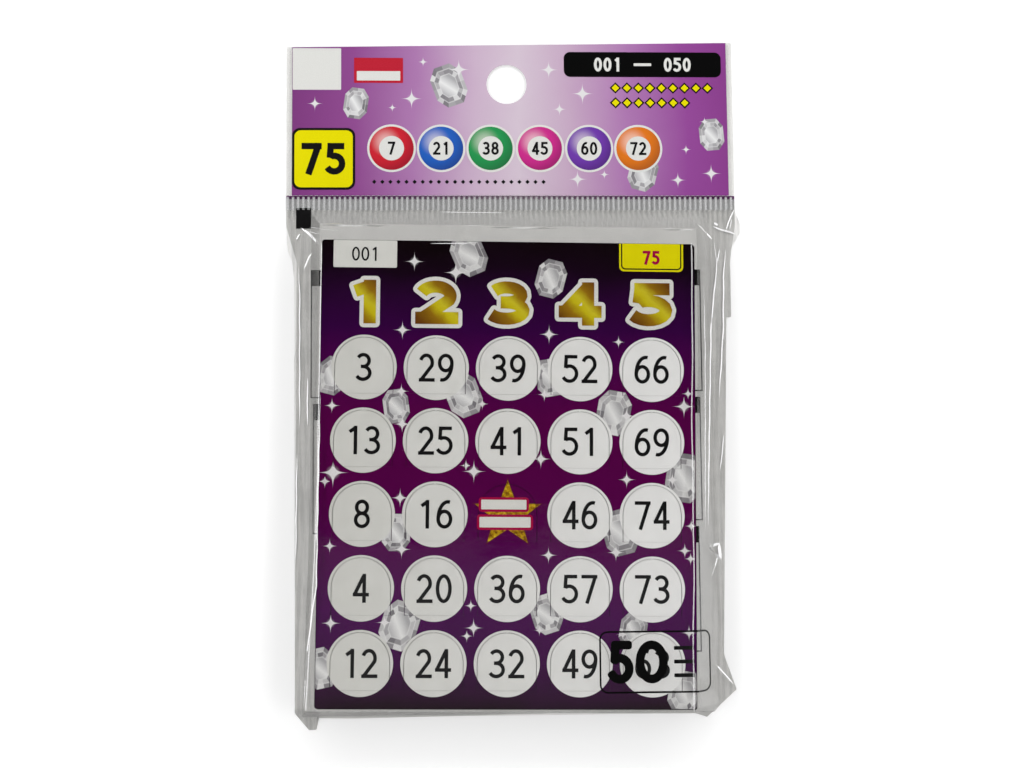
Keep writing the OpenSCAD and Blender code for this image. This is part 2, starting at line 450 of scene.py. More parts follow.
@dataclass(frozen=True)
class CardPrint(Finish):
    """Coated board with pale number discs on a deep purple ground, printed on its upper face."""

    layout: Layout
    disc_r: float = 7.8
    star_r: float = 9.0
    star_waist: float = 0.42
    gems: tuple = (
        (-9.7, 52.6, 5.2, 24.0),
        (10.2, 46.9, 4.6, -14.0),
        (-42.2, 22.8, 4.5, -14.0),
        (-26.8, 15.6, 4.0, 8.0),
        (-10.8, 18.5, 5.3, 22.0),
        (10.1, 22.8, 4.5, 10.0),
        (25.4, 14.4, 5.3, -10.0),
        (42.4, -1.1, 5.8, -8.0),
        (-26.5, -14.5, 4.4, 0.0),
        (27.0, -14.2, 5.4, 15.0),
        (-25.4, -36.4, 5.7, -16.0),
        (9.3, -33.6, 4.6, 18.0),
        (30.0, -37.4, 4.2, -10.0),
        (-43.8, -46.4, 4.7, 12.0),
        (42.2, -51.9, 5.0, -10.0),
    )
    sparks: tuple = (
        (-22.8, 50.7, 2.0),
        (-12.8, 48.1, 2.4),
        (-25.5, 34.0, 1.9),
        (9.8, 33.3, 2.0),
        (26.6, 31.6, 1.3),
        (-25.6, 19.2, 1.6),
        (8.7, 18.7, 1.5),
        (43.4, 19.2, 1.3),
        (-42.1, 15.6, 1.6),
        (-25.3, 11.3, 1.8),
        (-6.2, 16.3, 1.3),
        (42.4, 16.1, 2.3),
        (28.5, 13.7, 1.8),
        (-41.6, -0.4, 3.0),
        (-43.5, -2.5, 1.5),
        (-8.1, 0.1, 2.3),
        (-10.0, 1.5, 1.3),
        (7.9, 3.2, 2.0),
        (28.5, -1.6, 1.8),
        (39.5, -1.6, 1.6),
        (-25.6, -6.3, 1.9),
        (-42.1, -17.8, 1.5),
        (-25.1, -18.5, 1.9),
        (44.0, -12.6, 1.4),
        (9.8, -19.7, 1.7),
        (25.9, -19.0, 1.8),
        (42.4, -18.5, 1.6),
        (43.8, -20.4, 1.4),
        (-28.9, -35.7, 1.7),
        (-41.6, -35.9, 1.9),
        (-8.6, -31.7, 1.3),
        (-7.9, -36.9, 1.9),
        (-9.5, -38.8, 1.3),
        (7.7, -37.4, 1.2),
        (27.5, -38.3, 1.3),
        (43.3, -37.9, 1.6),
    )

    def shader(self, graph: Graph) -> NodeSocket:
        """Builds the shader.

        Args:
            graph: Graph of the material.

        Returns:
            Shader of the front card and its flaps.
        """
        place = card_place(graph, self.layout)
        colour = Ornaments(self.gems, self.sparks).draw(graph, place, self._ground(graph, place))
        colour = self._discs(graph, place, colour)
        # Side faces of the card and flaps are dark: painted shade in the die-cut gaps; the board's cut edge
        # itself is pale.
        side = graph.step(graph.facing(), 0.6, 0.4)
        colour = graph.mix(side, colour, srgb(72, 58, 70))
        fibre = graph.noise(graph.place(), 2600.0, 4.0)
        return graph.principled(
            {
                "Base Color": colour,
                "Roughness": graph.math("MULTIPLY_ADD", fibre, 0.12, 0.44),
                "Normal": graph.bump(fibre, 0.08, 0.00003),
                "Specular IOR Level": 0.06,
            }
        )

    def plain(self, graph: Graph) -> NodeSocket:
        """Gives the print without its ornaments."""
        place = card_place(graph, self.layout)
        return self._discs(graph, place, self._ground(graph, place))

    def _ground(self, graph: Graph, place: object) -> NodeSocket:
        """Purple ground that darkens to the top and bottom edges.

        Args:
            graph: Graph of the material.
            place: Place on the card, in millimetres.

        Returns:
            Socket with the colour.
        """
        height = graph.math("DIVIDE", graph.parts(place)[1], self.layout.card_h)
        stops = [
            (0.0, srgb(30, 6, 24)),
            (0.03, srgb(48, 10, 48)),
            (0.1, srgb(64, 6, 70)),
            (0.2, srgb(74, 4, 80)),
            (0.33, srgb(82, 2, 78)),
            (0.45, srgb(86, 0, 72)),
            (0.62, srgb(86, 0, 70)),
            (0.75, srgb(70, 0, 72)),
            (0.81, srgb(52, 0, 64)),
            (0.88, srgb(40, 2, 48)),
            (0.94, srgb(22, 3, 22)),
            (1.0, srgb(14, 4, 8)),
        ]
        mottle = graph.noise(place, 0.05, 2.0)
        drift = graph.math("MULTIPLY_ADD", graph.math("SUBTRACT", mottle, 0.5), 0.06, 0.5)
        return graph.ramp(graph.math("ADD", height, drift), stops)

    def _discs(self, graph: Graph, place: object, ground: object) -> NodeSocket:
        """Pale discs on the number grid, painted lighter towards the right as painted light, and a gold
        star on the free space.

        Args:
            graph: Graph of the material.
            place: Place on the card, in millimetres.
            ground: Colour between the discs.

        Returns:
            Socket with the printed colour.
        """
        lay = self.layout
        across, along, _ = graph.parts(place)
        rise = graph.math("SUBTRACT", along, lay.row_y(3))
        cell_x = graph.math("WRAP", across, lay.pitch_x / 2, -lay.pitch_x / 2)
        cell_y = graph.math("WRAP", rise, lay.pitch_y / 2, -lay.pitch_y / 2)
        radius = graph.distance(cell_x, cell_y)
        disc = graph.step(radius, self.disc_r + 0.06, self.disc_r - 0.06)
        column = graph.math("DIVIDE", graph.math("ABSOLUTE", across), lay.pitch_x)
        row = graph.math("DIVIDE", graph.math("ABSOLUTE", rise), lay.pitch_y)
        cell = graph.math("MAXIMUM", column, row)
        in_grid = graph.math("LESS_THAN", cell, lay.columns / 2)
        numbered = graph.math("GREATER_THAN", cell, 0.5)
        disc = graph.math("MULTIPLY", disc, graph.math("MULTIPLY", in_grid, numbered))
        # Discs get lighter towards the right: painted light falling from that side, with a faint random
        # cloudiness.
        cloud = graph.math("MULTIPLY_ADD", graph.noise(place, 0.35, 3.0), 0.3, 0.35)
        run = graph.math("MULTIPLY_ADD", across, 1.0 / lay.card_w, cloud)
        pale = graph.ramp(run, [(0.08, srgb(217, 217, 213)), (0.92, srgb(242, 242, 242))])
        return self._star(graph, across, rise, graph.mix(disc, ground, pale))

    def _star(self, graph: Graph, across: object, rise: object, ground: object) -> NodeSocket:
        """Mottled gold star with a fine dark rim.

        Args:
            graph: Graph of the material.
            across: Place from the star's middle to the right.
            rise: Place from the star's middle upwards.
            ground: Colour round the star.

        Returns:
            Socket with the star laid on the ground.
        """
        sector = math.tau / 5
        angle = graph.math("ARCTAN2", across, rise)
        folded = graph.math("ABSOLUTE", graph.math("WRAP", angle, sector / 2, -sector / 2))
        radius = graph.distance(across, rise)
        inner = Vector((self.star_waist * math.sin(sector / 2), self.star_waist * math.cos(sector / 2)))
        edge = (inner - Vector((0.0, 1.0))).normalized()
        normal = Vector((-edge.y, edge.x))
        side = graph.math("MULTIPLY", graph.math("SINE", folded), normal.x)
        front = graph.math("MULTIPLY", graph.math("COSINE", folded), normal.y)
        depth = graph.math("MULTIPLY", radius, graph.math("ADD", side, front))
        limit = self.star_r * normal.y
        speck = graph.add("ShaderNodeCombineXYZ", {0: across, 1: rise}).outputs[0]
        stops = [
            (0.3, srgb(96, 58, 14)),
            (0.45, srgb(150, 108, 18)),
            (0.58, srgb(196, 158, 22)),
            (0.72, srgb(222, 192, 60)),
        ]
        gold = graph.ramp(graph.noise(speck, 1.1, 6.0), stops)
        rimmed = graph.mix(graph.step(depth, limit - 0.34, limit - 0.2), gold, srgb(92, 20, 60))
        return graph.mix(graph.step(depth, limit + 0.05, limit - 0.05), ground, rimmed)


@dataclass(frozen=True)
class CardStock(Finish):
    """White board with faint fibres and grey cut edges, bare or with a print on its upper face, darkened as
    painted shade.
    """

    face: CardPrint | None = None
    edge_pitch: float = 0.185

    def shader(self, graph: Graph) -> NodeSocket:
        """Builds the shader.

        Args:
            graph: Graph of the material.

        Returns:
            Shader of the stacked cards.
        """
        place = graph.place()
        fibre = graph.noise(place, 1800.0, 5.0)
        board = graph.ramp(fibre, [(0.3, srgb(226, 223, 216)), (0.7, srgb(241, 239, 234))])
        level = graph.math("DIVIDE", graph.parts(place)[2], self.edge_pitch * MM)
        strip = graph.add("ShaderNodeTexWhiteNoise", {1: graph.math("FLOOR", level)}, noise_dimensions="1D")
        edge = graph.ramp(strip.outputs["Value"], [(0.0, srgb(205, 200, 196)), (1.0, srgb(250, 248, 244))])
        up = graph.facing()
        colour = graph.mix(graph.step(graph.math("ABSOLUTE", up), 0.3, 0.6), edge, board)
        if self.face:
            # The inner cards' print is darkened by about a third: painted shade under the front card.
            shaded = graph.mix(0.35, self.face.plain(graph), grey(0.0))
            colour = graph.mix(graph.step(up, 0.5, 0.8), colour, shaded)
        return graph.principled(
            {
                "Base Color": colour,
                "Roughness": graph.math("MULTIPLY_ADD", fibre, 0.15, 0.6),
                "Normal": graph.bump(fibre, 0.1, 0.00004),
                "Specular IOR Level": 0.25,
            }
        )


@dataclass(frozen=True)
class Ink(Finish):
    """Printing ink with a slight grain, over board or film."""

    colour: Colour
    shade: Colour
    roughness: float = 0.4

    def shader(self, graph: Graph) -> NodeSocket:
        """Builds the shader.

        Args:
            graph: Graph of the material.

        Returns:
            Shader of printed shapes.
        """
        grain = graph.noise(graph.place(), 4200.0, 4.0)
        tone = graph.ramp(grain, [(0.35, srgb(*self.shade)), (0.65, srgb(*self.colour))])
        return graph.principled(
            {
                "Base Color": tone,
                "Roughness": graph.math("MULTIPLY_ADD", grain, 0.12, self.roughness - 0.06),
                "Specular IOR Level": 0.15,
            }
        )


@dataclass(frozen=True)
class GoldInk(Finish):
    """Printed gold with a bright band across each figure, from its upper left to its lower right."""

    layout: Layout

    def shader(self, graph: Graph) -> NodeSocket:
        """Builds the shader.

        Args:
            graph: Graph of the material.

        Returns:
            Shader of the heading's figures.
        """
        place = card_place(graph, self.layout)
        across, along, _ = graph.parts(place)
        half = self.layout.pitch_x / 2
        reach = self.layout.heading_h
        from_middle = graph.math("SUBTRACT", along, self.layout.heading_y)
        slant = graph.math("ADD", graph.math("WRAP", across, half, -half), from_middle)
        grain = graph.noise(place, 0.42, 4.0)
        drift = graph.math("MULTIPLY_ADD", graph.math("SUBTRACT", grain, 0.5), 2.4, slant)
        level = graph.add("ShaderNodeMapRange", {0: drift, 1: -reach, 2: reach}).outputs[0]
        stops = [
            (0.1, srgb(106, 62, 14)),
            (0.32, srgb(150, 110, 16)),
            (0.47, srgb(204, 188, 24)),
            (0.55, srgb(208, 194, 40)),
            (0.7, srgb(150, 110, 16)),
            (0.9, srgb(106, 62, 14)),
        ]
        gold = graph.ramp(level, stops)
        return graph.principled({"Base Color": gold, "Roughness": 0.42, "Specular IOR Level": 0.2})


@dataclass(frozen=True)
class BallInk(Finish):
    """Row of balls in different colours, each with a soft highlight and a darker lower edge."""

    first_x: float
    pitch: float
    middle_y: float
    radius: float
    colours: tuple

    def shader(self, graph: Graph) -> NodeSocket:
        """Builds the shader.

        Args:
            graph: Graph of the material.

        Returns:
            Shader of the row of balls.
        """
        place = graph.millimetres()
        across, along, _ = graph.parts(place)
        start = self.first_x - self.pitch / 2
        run = graph.math("DIVIDE", graph.math("SUBTRACT", across, start), self.pitch)
        count = len(self.colours)
        stops = [(index / count, srgb(*colour)) for index, colour in enumerate(self.colours)]
        tone = graph.ramp(graph.math("DIVIDE", run, float(count)), stops, "CONSTANT")
        from_x = graph.math("MULTIPLY", graph.math("SUBTRACT", graph.math("FRACT", run), 0.38), self.pitch)
        from_y = graph.math("SUBTRACT", along, self.middle_y + self.radius * 0.3)
        far = graph.math("DIVIDE", graph.distance(from_x, from_y), self.radius)
        lit = graph.mix(graph.step(far, 0.75, 0.1), tone, srgb(255, 245, 240))
        dark = graph.mix(graph.step(far, 0.7, 1.5), lit, srgb(40, 10, 40))
        shaded = graph.mix(0.45, tone, dark)
        return graph.principled({"Base Color": shaded, "Roughness": 0.35, "Specular IOR Level": 0.35})


@dataclass(frozen=True)
class ClearFilm(Finish):
    """Clear glossy film: tinted light passes, and a share that grows at grazing angles is mirrored."""

    pass_share: float
    mirror: float = 0.04
    grazing: float = 0.4
    roughness: float = 0.07
    wrinkle: float = 0.08
    wrinkle_scale: float = 260.0

    def shader(self, graph: Graph) -> NodeSocket:
        """Builds the shader, which other finishes use as well.

        Args:
            graph: Graph of the material.

        Returns:
            Shader socket.
        """
        place = graph.place()
        ripple = graph.noise(place, self.wrinkle_scale, 3.0)
        normal = graph.bump(ripple, self.wrinkle, 0.0004)
        clear = graph.add("ShaderNodeBsdfTransparent", {0: self.tone(graph, place, ripple)}).outputs[0]
        gloss = graph.principled(
            {
                "Base Color": (0.95, 0.95, 0.96, 1.0),
                "Metallic": 1.0,
                "Roughness": self.roughness,
                "Normal": normal,
            }
        )
        slant = graph.add("ShaderNodeLayerWeight", {"Blend": 0.5, "Normal": normal}).outputs["Facing"]
        rise = graph.math("MULTIPLY", graph.math("POWER", slant, 5.0), self.grazing)
        share = graph.math("ADD", rise, self.sheen(graph))
        return graph.blend(share, clear, gloss)

    def sheen(self, graph: Graph) -> float | NodeSocket:
        """Share of the light that is mirrored when the film is seen face on."""
        return self.mirror

    def tone(self, graph: Graph, place: object, ripple: object) -> NodeSocket:
        """Share of the light that passes.

        Args:
            graph: Graph of the material.
            place: Place on the piece, in metres; not used here.
            ripple: Cloudy value of 0 to 1.

        Returns:
            Socket with the share as a slightly warm grey.
        """
        high = Vector((1.0, 0.998, 0.992)) * self.pass_share
        low = high * 0.98
        return graph.ramp(ripple, [(0.25, (*low, 1.0)), (0.75, (*high, 1.0))])


@dataclass(frozen=True)
class PouchFilm(ClearFilm):
    """Clear film, duller where it slopes, with streaks that run on from the ribs and fade out; streaks,
    crinkles and part of the dulling are painted shade.
    """

    layout: Layout = Layout()
    streak: float = 0.22
    streak_l: float = 5.0
    slope_loss: float = 0.16
    pressed: float = 0.22
    crinkle: float = 0.065
    doubled: float = 0.07
    margin: Point = (46.5, 48.5)
    doubled_h: Point = (2.8, 1.6)
    edge_from: Point = (0.89, 0.91)
    edge_to: Point = (0.972, 0.962)

    def sheen(self, graph: Graph) -> NodeSocket:
        """Share of the light that is mirrored, more on the pressed edges round the stack.

        Args:
            graph: Graph of the material.

        Returns:
            Socket with the share.
        """
        flat = graph.math("ABSOLUTE", graph.facing())
        edge = graph.math("MULTIPLY", graph.step(flat, *self.edge_from), graph.step(flat, *self.edge_to))
        return graph.math("MULTIPLY_ADD", edge, self.pressed, self.mirror)

    def tone(self, graph: Graph, place: object, ripple: object) -> NodeSocket:
        """Share of the light that passes, with painted shade in the streaks and crinkles, and less on
        slopes and along the bottom fold, partly from the longer path through the film.

        Args:
            graph: Graph of the material.
            place: Place on the piece, in metres.
            ripple: Cloudy value of 0 to 1.

        Returns:
            Socket with the share.
        """
        lay = self.layout
        across, along, _ = graph.parts(place)
        # Streaks that run on from the ribs: painted shade of the fading rib marks.
        turn = graph.math("MULTIPLY", across, math.tau / (lay.rib_pitch * MM))
        wave = graph.math("SINE", graph.math("MULTIPLY_ADD", ripple, 0.8, turn))
        fade = graph.step(along, (lay.crimp_y - self.streak_l) * MM, (lay.crimp_y + 0.5) * MM)
        depth = graph.math("MULTIPLY", graph.math("MULTIPLY_ADD", wave, 0.5, 0.5), fade)
        plain = super().tone(graph, place, ripple)
        streaked = graph.mix(graph.math("MULTIPLY", depth, self.streak), plain, grey(0.35))
        # Sloping film passes less light: partly the longer path through the film, partly painted shade.
        flat = graph.math("ABSOLUTE", graph.facing())
        loss = graph.math("MULTIPLY_ADD", flat, -self.slope_loss, self.slope_loss)
        # Crinkles along the margins pass less light: painted shade of the crinkled film.
        crinkle = graph.noise(graph.vector("MULTIPLY", place, (1.0, 0.05, 0.3)), 1100.0, 3.0)
        inner, outer = self.margin
        margin = graph.step(graph.math("ABSOLUTE", across), inner * MM, outer * MM)
        crinkle_shade = graph.math("MULTIPLY", graph.step(crinkle, 0.38, 0.66), margin)
        # Band along the bottom fold passes less light: partly the doubled film, partly painted shade.
        upper, lower = self.doubled_h
        doubled = graph.step(along, (lay.fold_y + upper) * MM, (lay.fold_y + lower) * MM)
        loss = graph.math("MULTIPLY_ADD", crinkle_shade, self.crinkle, loss)
        loss = graph.math("MULTIPLY_ADD", doubled, self.doubled, loss)
        return graph.mix(loss, streaked, grey(0.0))


@dataclass(frozen=True)
class SealFilm(ClearFilm):
    """Film pressed into ribs, with painted shade: clearest on the crests, darker in the valleys and darkest
    on the flanks.
    """

    valley: float = 0.78
    crest: float = 0.93
    flank: float = 0.62
    crest_low: float = 0.13
    crest_high: float = 0.34

    def crests(self, graph: Graph, place: object) -> NodeSocket:
        """Masks the ribs' crests by their height."""
        return graph.step(graph.parts(place)[2], self.crest_low * MM, self.crest_high * MM)

    def tone(self, graph: Graph, place: object, ripple: object) -> NodeSocket:
        """Share of the light that passes, by the rib's profile: painted shade in the valleys and on the
        flanks.

        Args:
            graph: Graph of the material.
            place: Place on the piece, in metres.
            ripple: Cloudy value of 0 to 1; not used, as the ribs hide it.

        Returns:
            Socket with the share.
        """
        # Valleys and flanks pass less light: painted shade of the ribs.
        level = graph.mix(self.crests(graph, place), grey(self.valley), grey(self.crest))
        steep = graph.step(graph.math("ABSOLUTE", graph.facing()), 0.9, 0.6)
        return graph.mix(steep, level, grey(self.flank))


@dataclass(frozen=True)
class CrimpFinish(Finish):
    """Ribbed film seal: hazy crests, and a print edge that runs down into the valleys."""

    layout: Layout
    film: SealFilm
    print_edge: float = 0.75
    edge_wave: float = 0.45
    edge_blur: float = 0.15
    haze: float = 0.24

    def shader(self, graph: Graph) -> NodeSocket:
        """Builds the shader.

        Args:
            graph: Graph of the material.

        Returns:
            Shader of the crimp.
        """
        lay = self.layout
        place = graph.place()
        across, along, _ = graph.parts(place)
        crests = self.film.crests(graph, place)
        patchy = graph.math("MULTIPLY_ADD", graph.noise(place, 240.0, 2.0), 0.9, 0.5)
        haze = graph.math("MULTIPLY", graph.math("MULTIPLY", crests, patchy), self.haze)
        milky = graph.add("ShaderNodeBsdfDiffuse", {0: srgb(240, 240, 241)}).outputs[0]
        seal = graph.blend(haze, self.film.shader(graph), milky)
        top = (lay.crimp_y + lay.crimp_h) * MM
        edge = graph.math("MULTIPLY_ADD", crests, self.edge_wave * MM, top - self.print_edge * MM)
        blur = self.edge_blur * MM
        printed = graph.step(graph.math("SUBTRACT", along, edge), -blur, blur)
        far = graph.math("DIVIDE", graph.math("ABSOLUTE", across), lay.header_w / 2 * MM)
        stops = [(0.0, srgb(150, 132, 146)), (0.5, srgb(116, 74, 116)), (0.9, srgb(92, 42, 94))]
        shade = graph.ramp(far, stops)
        ink = graph.principled({"Base Color": shade, "Roughness": 0.3, "Specular IOR Level": 0.4})
        return graph.blend(printed, seal, ink)


@dataclass(frozen=True)
class HeaderPrint(Finish):
    """Glossy film printed in purple, palest in the middle, with clear strips at both ends."""

    film: ClearFilm
    left: float = -54.3
    right: float = 54.3
    edge_blur: float = 0.05
    gems: tuple = (
        (-38.5, 68.8, 3.9, -8.0),
        (-15.4, 73.4, 5.3, 20.0),
        (50.3, 61.0, 4.0, 5.0),
        (32.9, 51.3, 4.6, -15.0),
    )
    sparks: tuple = (
        (-48.7, 68.7, 1.6),
        (-21.8, 79.4, 1.1),
        (-24.7, 70.0, 2.2),
        (-29.5, 67.7, 1.0),
        (-12.9, 77.5, 2.3),
        (9.6, 77.5, 2.0),
        (18.0, 71.4, 2.3),
        (12.2, 67.4, 1.5),
        (48.6, 64.3, 1.1),
        (43.8, 57.2, 1.1),
        (50.0, 51.1, 2.0),
        (41.6, 49.4, 1.7),
        (23.2, 50.8, 1.1),
        (16.5, 49.6, 2.0),
    )

    def shader(self, graph: Graph) -> NodeSocket:
        """Builds the shader.

        Args:
            graph: Graph of the material.

        Returns:
            Shader of the header's front.
        """
        place = graph.millimetres()
        across = graph.parts(place)[0]
        ripple = graph.noise(graph.place(), 90.0, 2.0)
        ink = graph.principled(
            {
                "Base Color": self.colour(graph, place),
                "Roughness": 0.22,
                "Specular IOR Level": 0.5,
                "Normal": graph.bump(ripple, 0.12, 0.0012),
            }
        )
        middle, half = (self.left + self.right) / 2, (self.right - self.left) / 2
        off_middle = graph.math("ABSOLUTE", graph.math("SUBTRACT", across, middle))
        printed = graph.step(off_middle, half + self.edge_blur, half - self.edge_blur)
        return graph.blend(printed, self.film.shader(graph), ink)

    def colour(self, graph: Graph, place: object) -> NodeSocket:
        """Printed colour: the ground with its ornaments."""
        return Ornaments(self.gems, self.sparks).draw(graph, place, self.ground(graph, place))

    def ground(self, graph: Graph, place: object) -> NodeSocket:
        """Purple ground, palest in the middle.

        Args:
            graph: Graph of the material.
            place: Place in millimetres.

        Returns:
            Socket with the colour.
        """
        across = graph.parts(place)[0]
        run = graph.add("ShaderNodeMapRange", {0: across, 1: self.left, 2: self.right}).outputs[0]
        stops = [
            (0.0, srgb(128, 62, 128)),
            (0.14, srgb(146, 78, 146)),
            (0.28, srgb(176, 124, 178)),
            (0.42, srgb(208, 182, 206)),
            (0.52, srgb(217, 200, 215)),
            (0.63, srgb(202, 172, 199)),
            (0.77, srgb(177, 123, 180)),
            (0.9, srgb(150, 76, 154)),
            (1.0, srgb(140, 66, 142)),
        ]
        cloud = graph.math("MULTIPLY_ADD", graph.noise(place, 0.06, 2.0), 0.05, -0.025)
        return graph.ramp(graph.math("ADD", run, cloud), stops)


@dataclass(frozen=True)
class HeaderBack(HeaderPrint):
    """Rear of the header film: the print's white backing, with the purple showing through faintly."""

    def colour(self, graph: Graph, place: object) -> NodeSocket:
        """White backing with a faint trace of the ground."""
        return graph.mix(0.84, self.ground(graph, place), srgb(228, 226, 228))


@dataclass(frozen=True)
class StageFinish(Finish):
    """Pale floor that shows white to the camera and keeps the object's soft shadow."""

    albedo: float = 0.76
    lift: float = 0.38

    def shader(self, graph: Graph) -> NodeSocket:
        """Builds the shader.

        Args:
            graph: Graph of the material.

        Returns:
            Shader of the floor.
        """
        rays = graph.add("ShaderNodeLightPath").outputs
        seen = graph.math("MAXIMUM", rays["Is Camera Ray"], rays["Is Glossy Ray"])
        seen = graph.math("MAXIMUM", seen, rays["Is Transmission Ray"])
        matt = graph.add("ShaderNodeBsdfDiffuse", {0: grey(self.albedo)}).outputs[0]
        strength = graph.math("MULTIPLY", seen, self.lift)
        glow = graph.add("ShaderNodeEmission", {"Strength": strength}).outputs[0]
        return graph.add("ShaderNodeAddShader", {0: matt, 1: glow}).outputs[0]


def mesh_object(name: str, mesh: Mesh, material: Material) -> Object:
    """Wraps a mesh in an object at the origin with one material.

    Args:
        name: Piece name.
        mesh: Finished mesh, placed in the frame.
        material: Finish of the piece.

    Returns:
        The linked object.
    """
    mesh.name = name
    mesh.materials.clear()
    mesh.materials.append(material)
    piece = bpy.data.objects.new(name, mesh)
    bpy.context.collection.objects.link(piece)
    return piece


def settle(piece: Object, body: str) -> Object:
    """Lets a piece ride on a body and reports it.

    Args:
        piece: Finished piece.
        body: Body that carries it.

    Returns:
        The same piece.
    """
    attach(piece, body)
    LOG.info("%s rides on %s, %d faces", piece.name, body, len(piece.data.polygons))
    return piece


def cover(node: Object, material: Material) -> None:
    """Sets one material on every slot of a CAD node.

    Args:
        node: CAD node.
        material: Finish.
    """
    if not node.material_slots:
        node.data.materials.append(material)
    for slot in node.material_slots:
        slot.material = material


def evaluated_mesh(source: Object) -> Mesh:
    """Turns a curve, modifier or copied object into a plain welded mesh and removes the source.

    Args:
        source: Object to convert.

    Returns:
        Mesh with merged doubles and outward faces.
    """
    bpy.context.collection.objects.link(source)
    graph = bpy.context.evaluated_depsgraph_get()
    mesh = bpy.data.meshes.new_from_object(source.evaluated_get(graph))
    bpy.data.objects.remove(source)
    work = bmesh.new()
    work.from_mesh(mesh)
    bmesh.ops.remove_doubles(work, verts=work.verts, dist=1e-5)
    bmesh.ops.recalc_face_normals(work, faces=work.faces)
    work.to_mesh(mesh)
    work.free()
    return mesh


def plate(loops: Sequence[Sequence[Point]], thickness: float = INK_T) -> Mesh:
    """Makes a thin closed plate from flat loops; a loop inside another is a hole.

    Args:
        loops: Closed outlines in millimetres.
        thickness: Thickness in millimetres, upwards from 0.

    Returns:
        Mesh in millimetres.
    """
    curve = bpy.data.curves.new("outline", "CURVE")
    curve.dimensions = "2D"
    curve.fill_mode = "BOTH"
    curve.extrude = thickness / 2
    for loop in loops:
        spline = curve.splines.new("POLY")
        spline.points.add(len(loop) - 1)
        spline.use_cyclic_u = True
        for point, (x, y) in zip(spline.points, loop):
            point.co = (x, y, 0.0, 1.0)
    mesh = evaluated_mesh(bpy.data.objects.new("outline", curve))
    mesh.transform(Matrix.Translation((0, 0, thickness / 2)))
    return mesh


def region_mesh(faces: Sequence[Sequence[Point]], thickness: float = INK_T) -> Mesh:
    """Joins overlapping flat faces into one thin closed plate.

    Args:
        faces: Convex faces in millimetres, which may overlap.
        thickness: Thickness in millimetres, upwards from 0.

    Returns:
        Mesh in millimetres.
    """
    points = [Vector(point) for face in faces for point in face]
    runs = np.cumsum([0] + [len(face) for face in faces])
    loops = [list(range(a, b)) for a, b in zip(runs, runs[1:])]
    flat, _, cells, _, _, inside = delaunay_2d_cdt(points, [], loops, 1, 1e-6)
    work = bmesh.new()
    spots = [work.verts.new((point.x, point.y, thickness)) for point in flat]
    for cell, owners in zip(cells, inside):
        if owners:
            work.faces.new([spots[index] for index in cell])
    bmesh.ops.delete(work, geom=[spot for spot in work.verts if not spot.link_faces], context="VERTS")
    bmesh.ops.dissolve_limit(work, angle_limit=0.01, verts=work.verts, edges=work.edges)
    bmesh.ops.triangulate(work, faces=work.faces)
    lower = bmesh.ops.extrude_face_region(work, geom=work.faces[:])
    for item in lower["geom"]:
        if isinstance(item, bmesh.types.BMVert):
            item.co.z = 0.0
    bmesh.ops.recalc_face_normals(work, faces=work.faces)
    mesh = bpy.data.meshes.new("region")
    work.to_mesh(mesh)
    work.free()
    return mesh


def ribbon(path: Sequence[Point], width: float, overrun: float) -> list[list[Point]]:
    """Gives a path a width, as one quad for each of its steps.

    Args:
        path: Points along the middle; a closed path ends on its first point.
        width: Width of the stroke.
        overrun: How far the stroke runs on past both ends.

    Returns:
        Quads.
    """
    points = np.array(path, dtype=float)
    closed = np.allclose(points[0], points[-1])
    steps = np.diff(points, axis=0)
    steps /= np.linalg.norm(steps, axis=1)[:, None]
    if not closed:
        points[0] -= steps[0] * overrun
        points[-1] += steps[-1] * overrun
    before = np.vstack([steps[-1] if closed else steps[0], steps])
    after = np.vstack([steps, steps[0] if closed else steps[-1]])
    sides = before + after
    sides /= (sides * sides).sum(axis=1)[:, None] / 2
    offset = np.stack([-sides[:, 1], sides[:, 0]], axis=1) * width / 2
    left, right = points + offset, points - offset
    corners = np.stack([left[:-1], right[:-1], right[1:], left[1:]], axis=1)
    return [[tuple(corner) for corner in quad] for quad in corners]


def arc(middle: Point, radii: Point, start: float, end: float, steps: int = 14) -> list[Point]:
    """Points along part of an ellipse.

    Args:
        middle: Middle of the ellipse.
        radii: Its two radii.
        start: First angle in degrees.
        end: Last angle in degrees.
        steps: Number of steps.

    Returns:
        Points from start to end.
    """
    angles = np.radians(np.linspace(start, end, steps + 1))
    return [(middle[0] + radii[0] * math.cos(a), middle[1] + radii[1] * math.sin(a)) for a in angles]


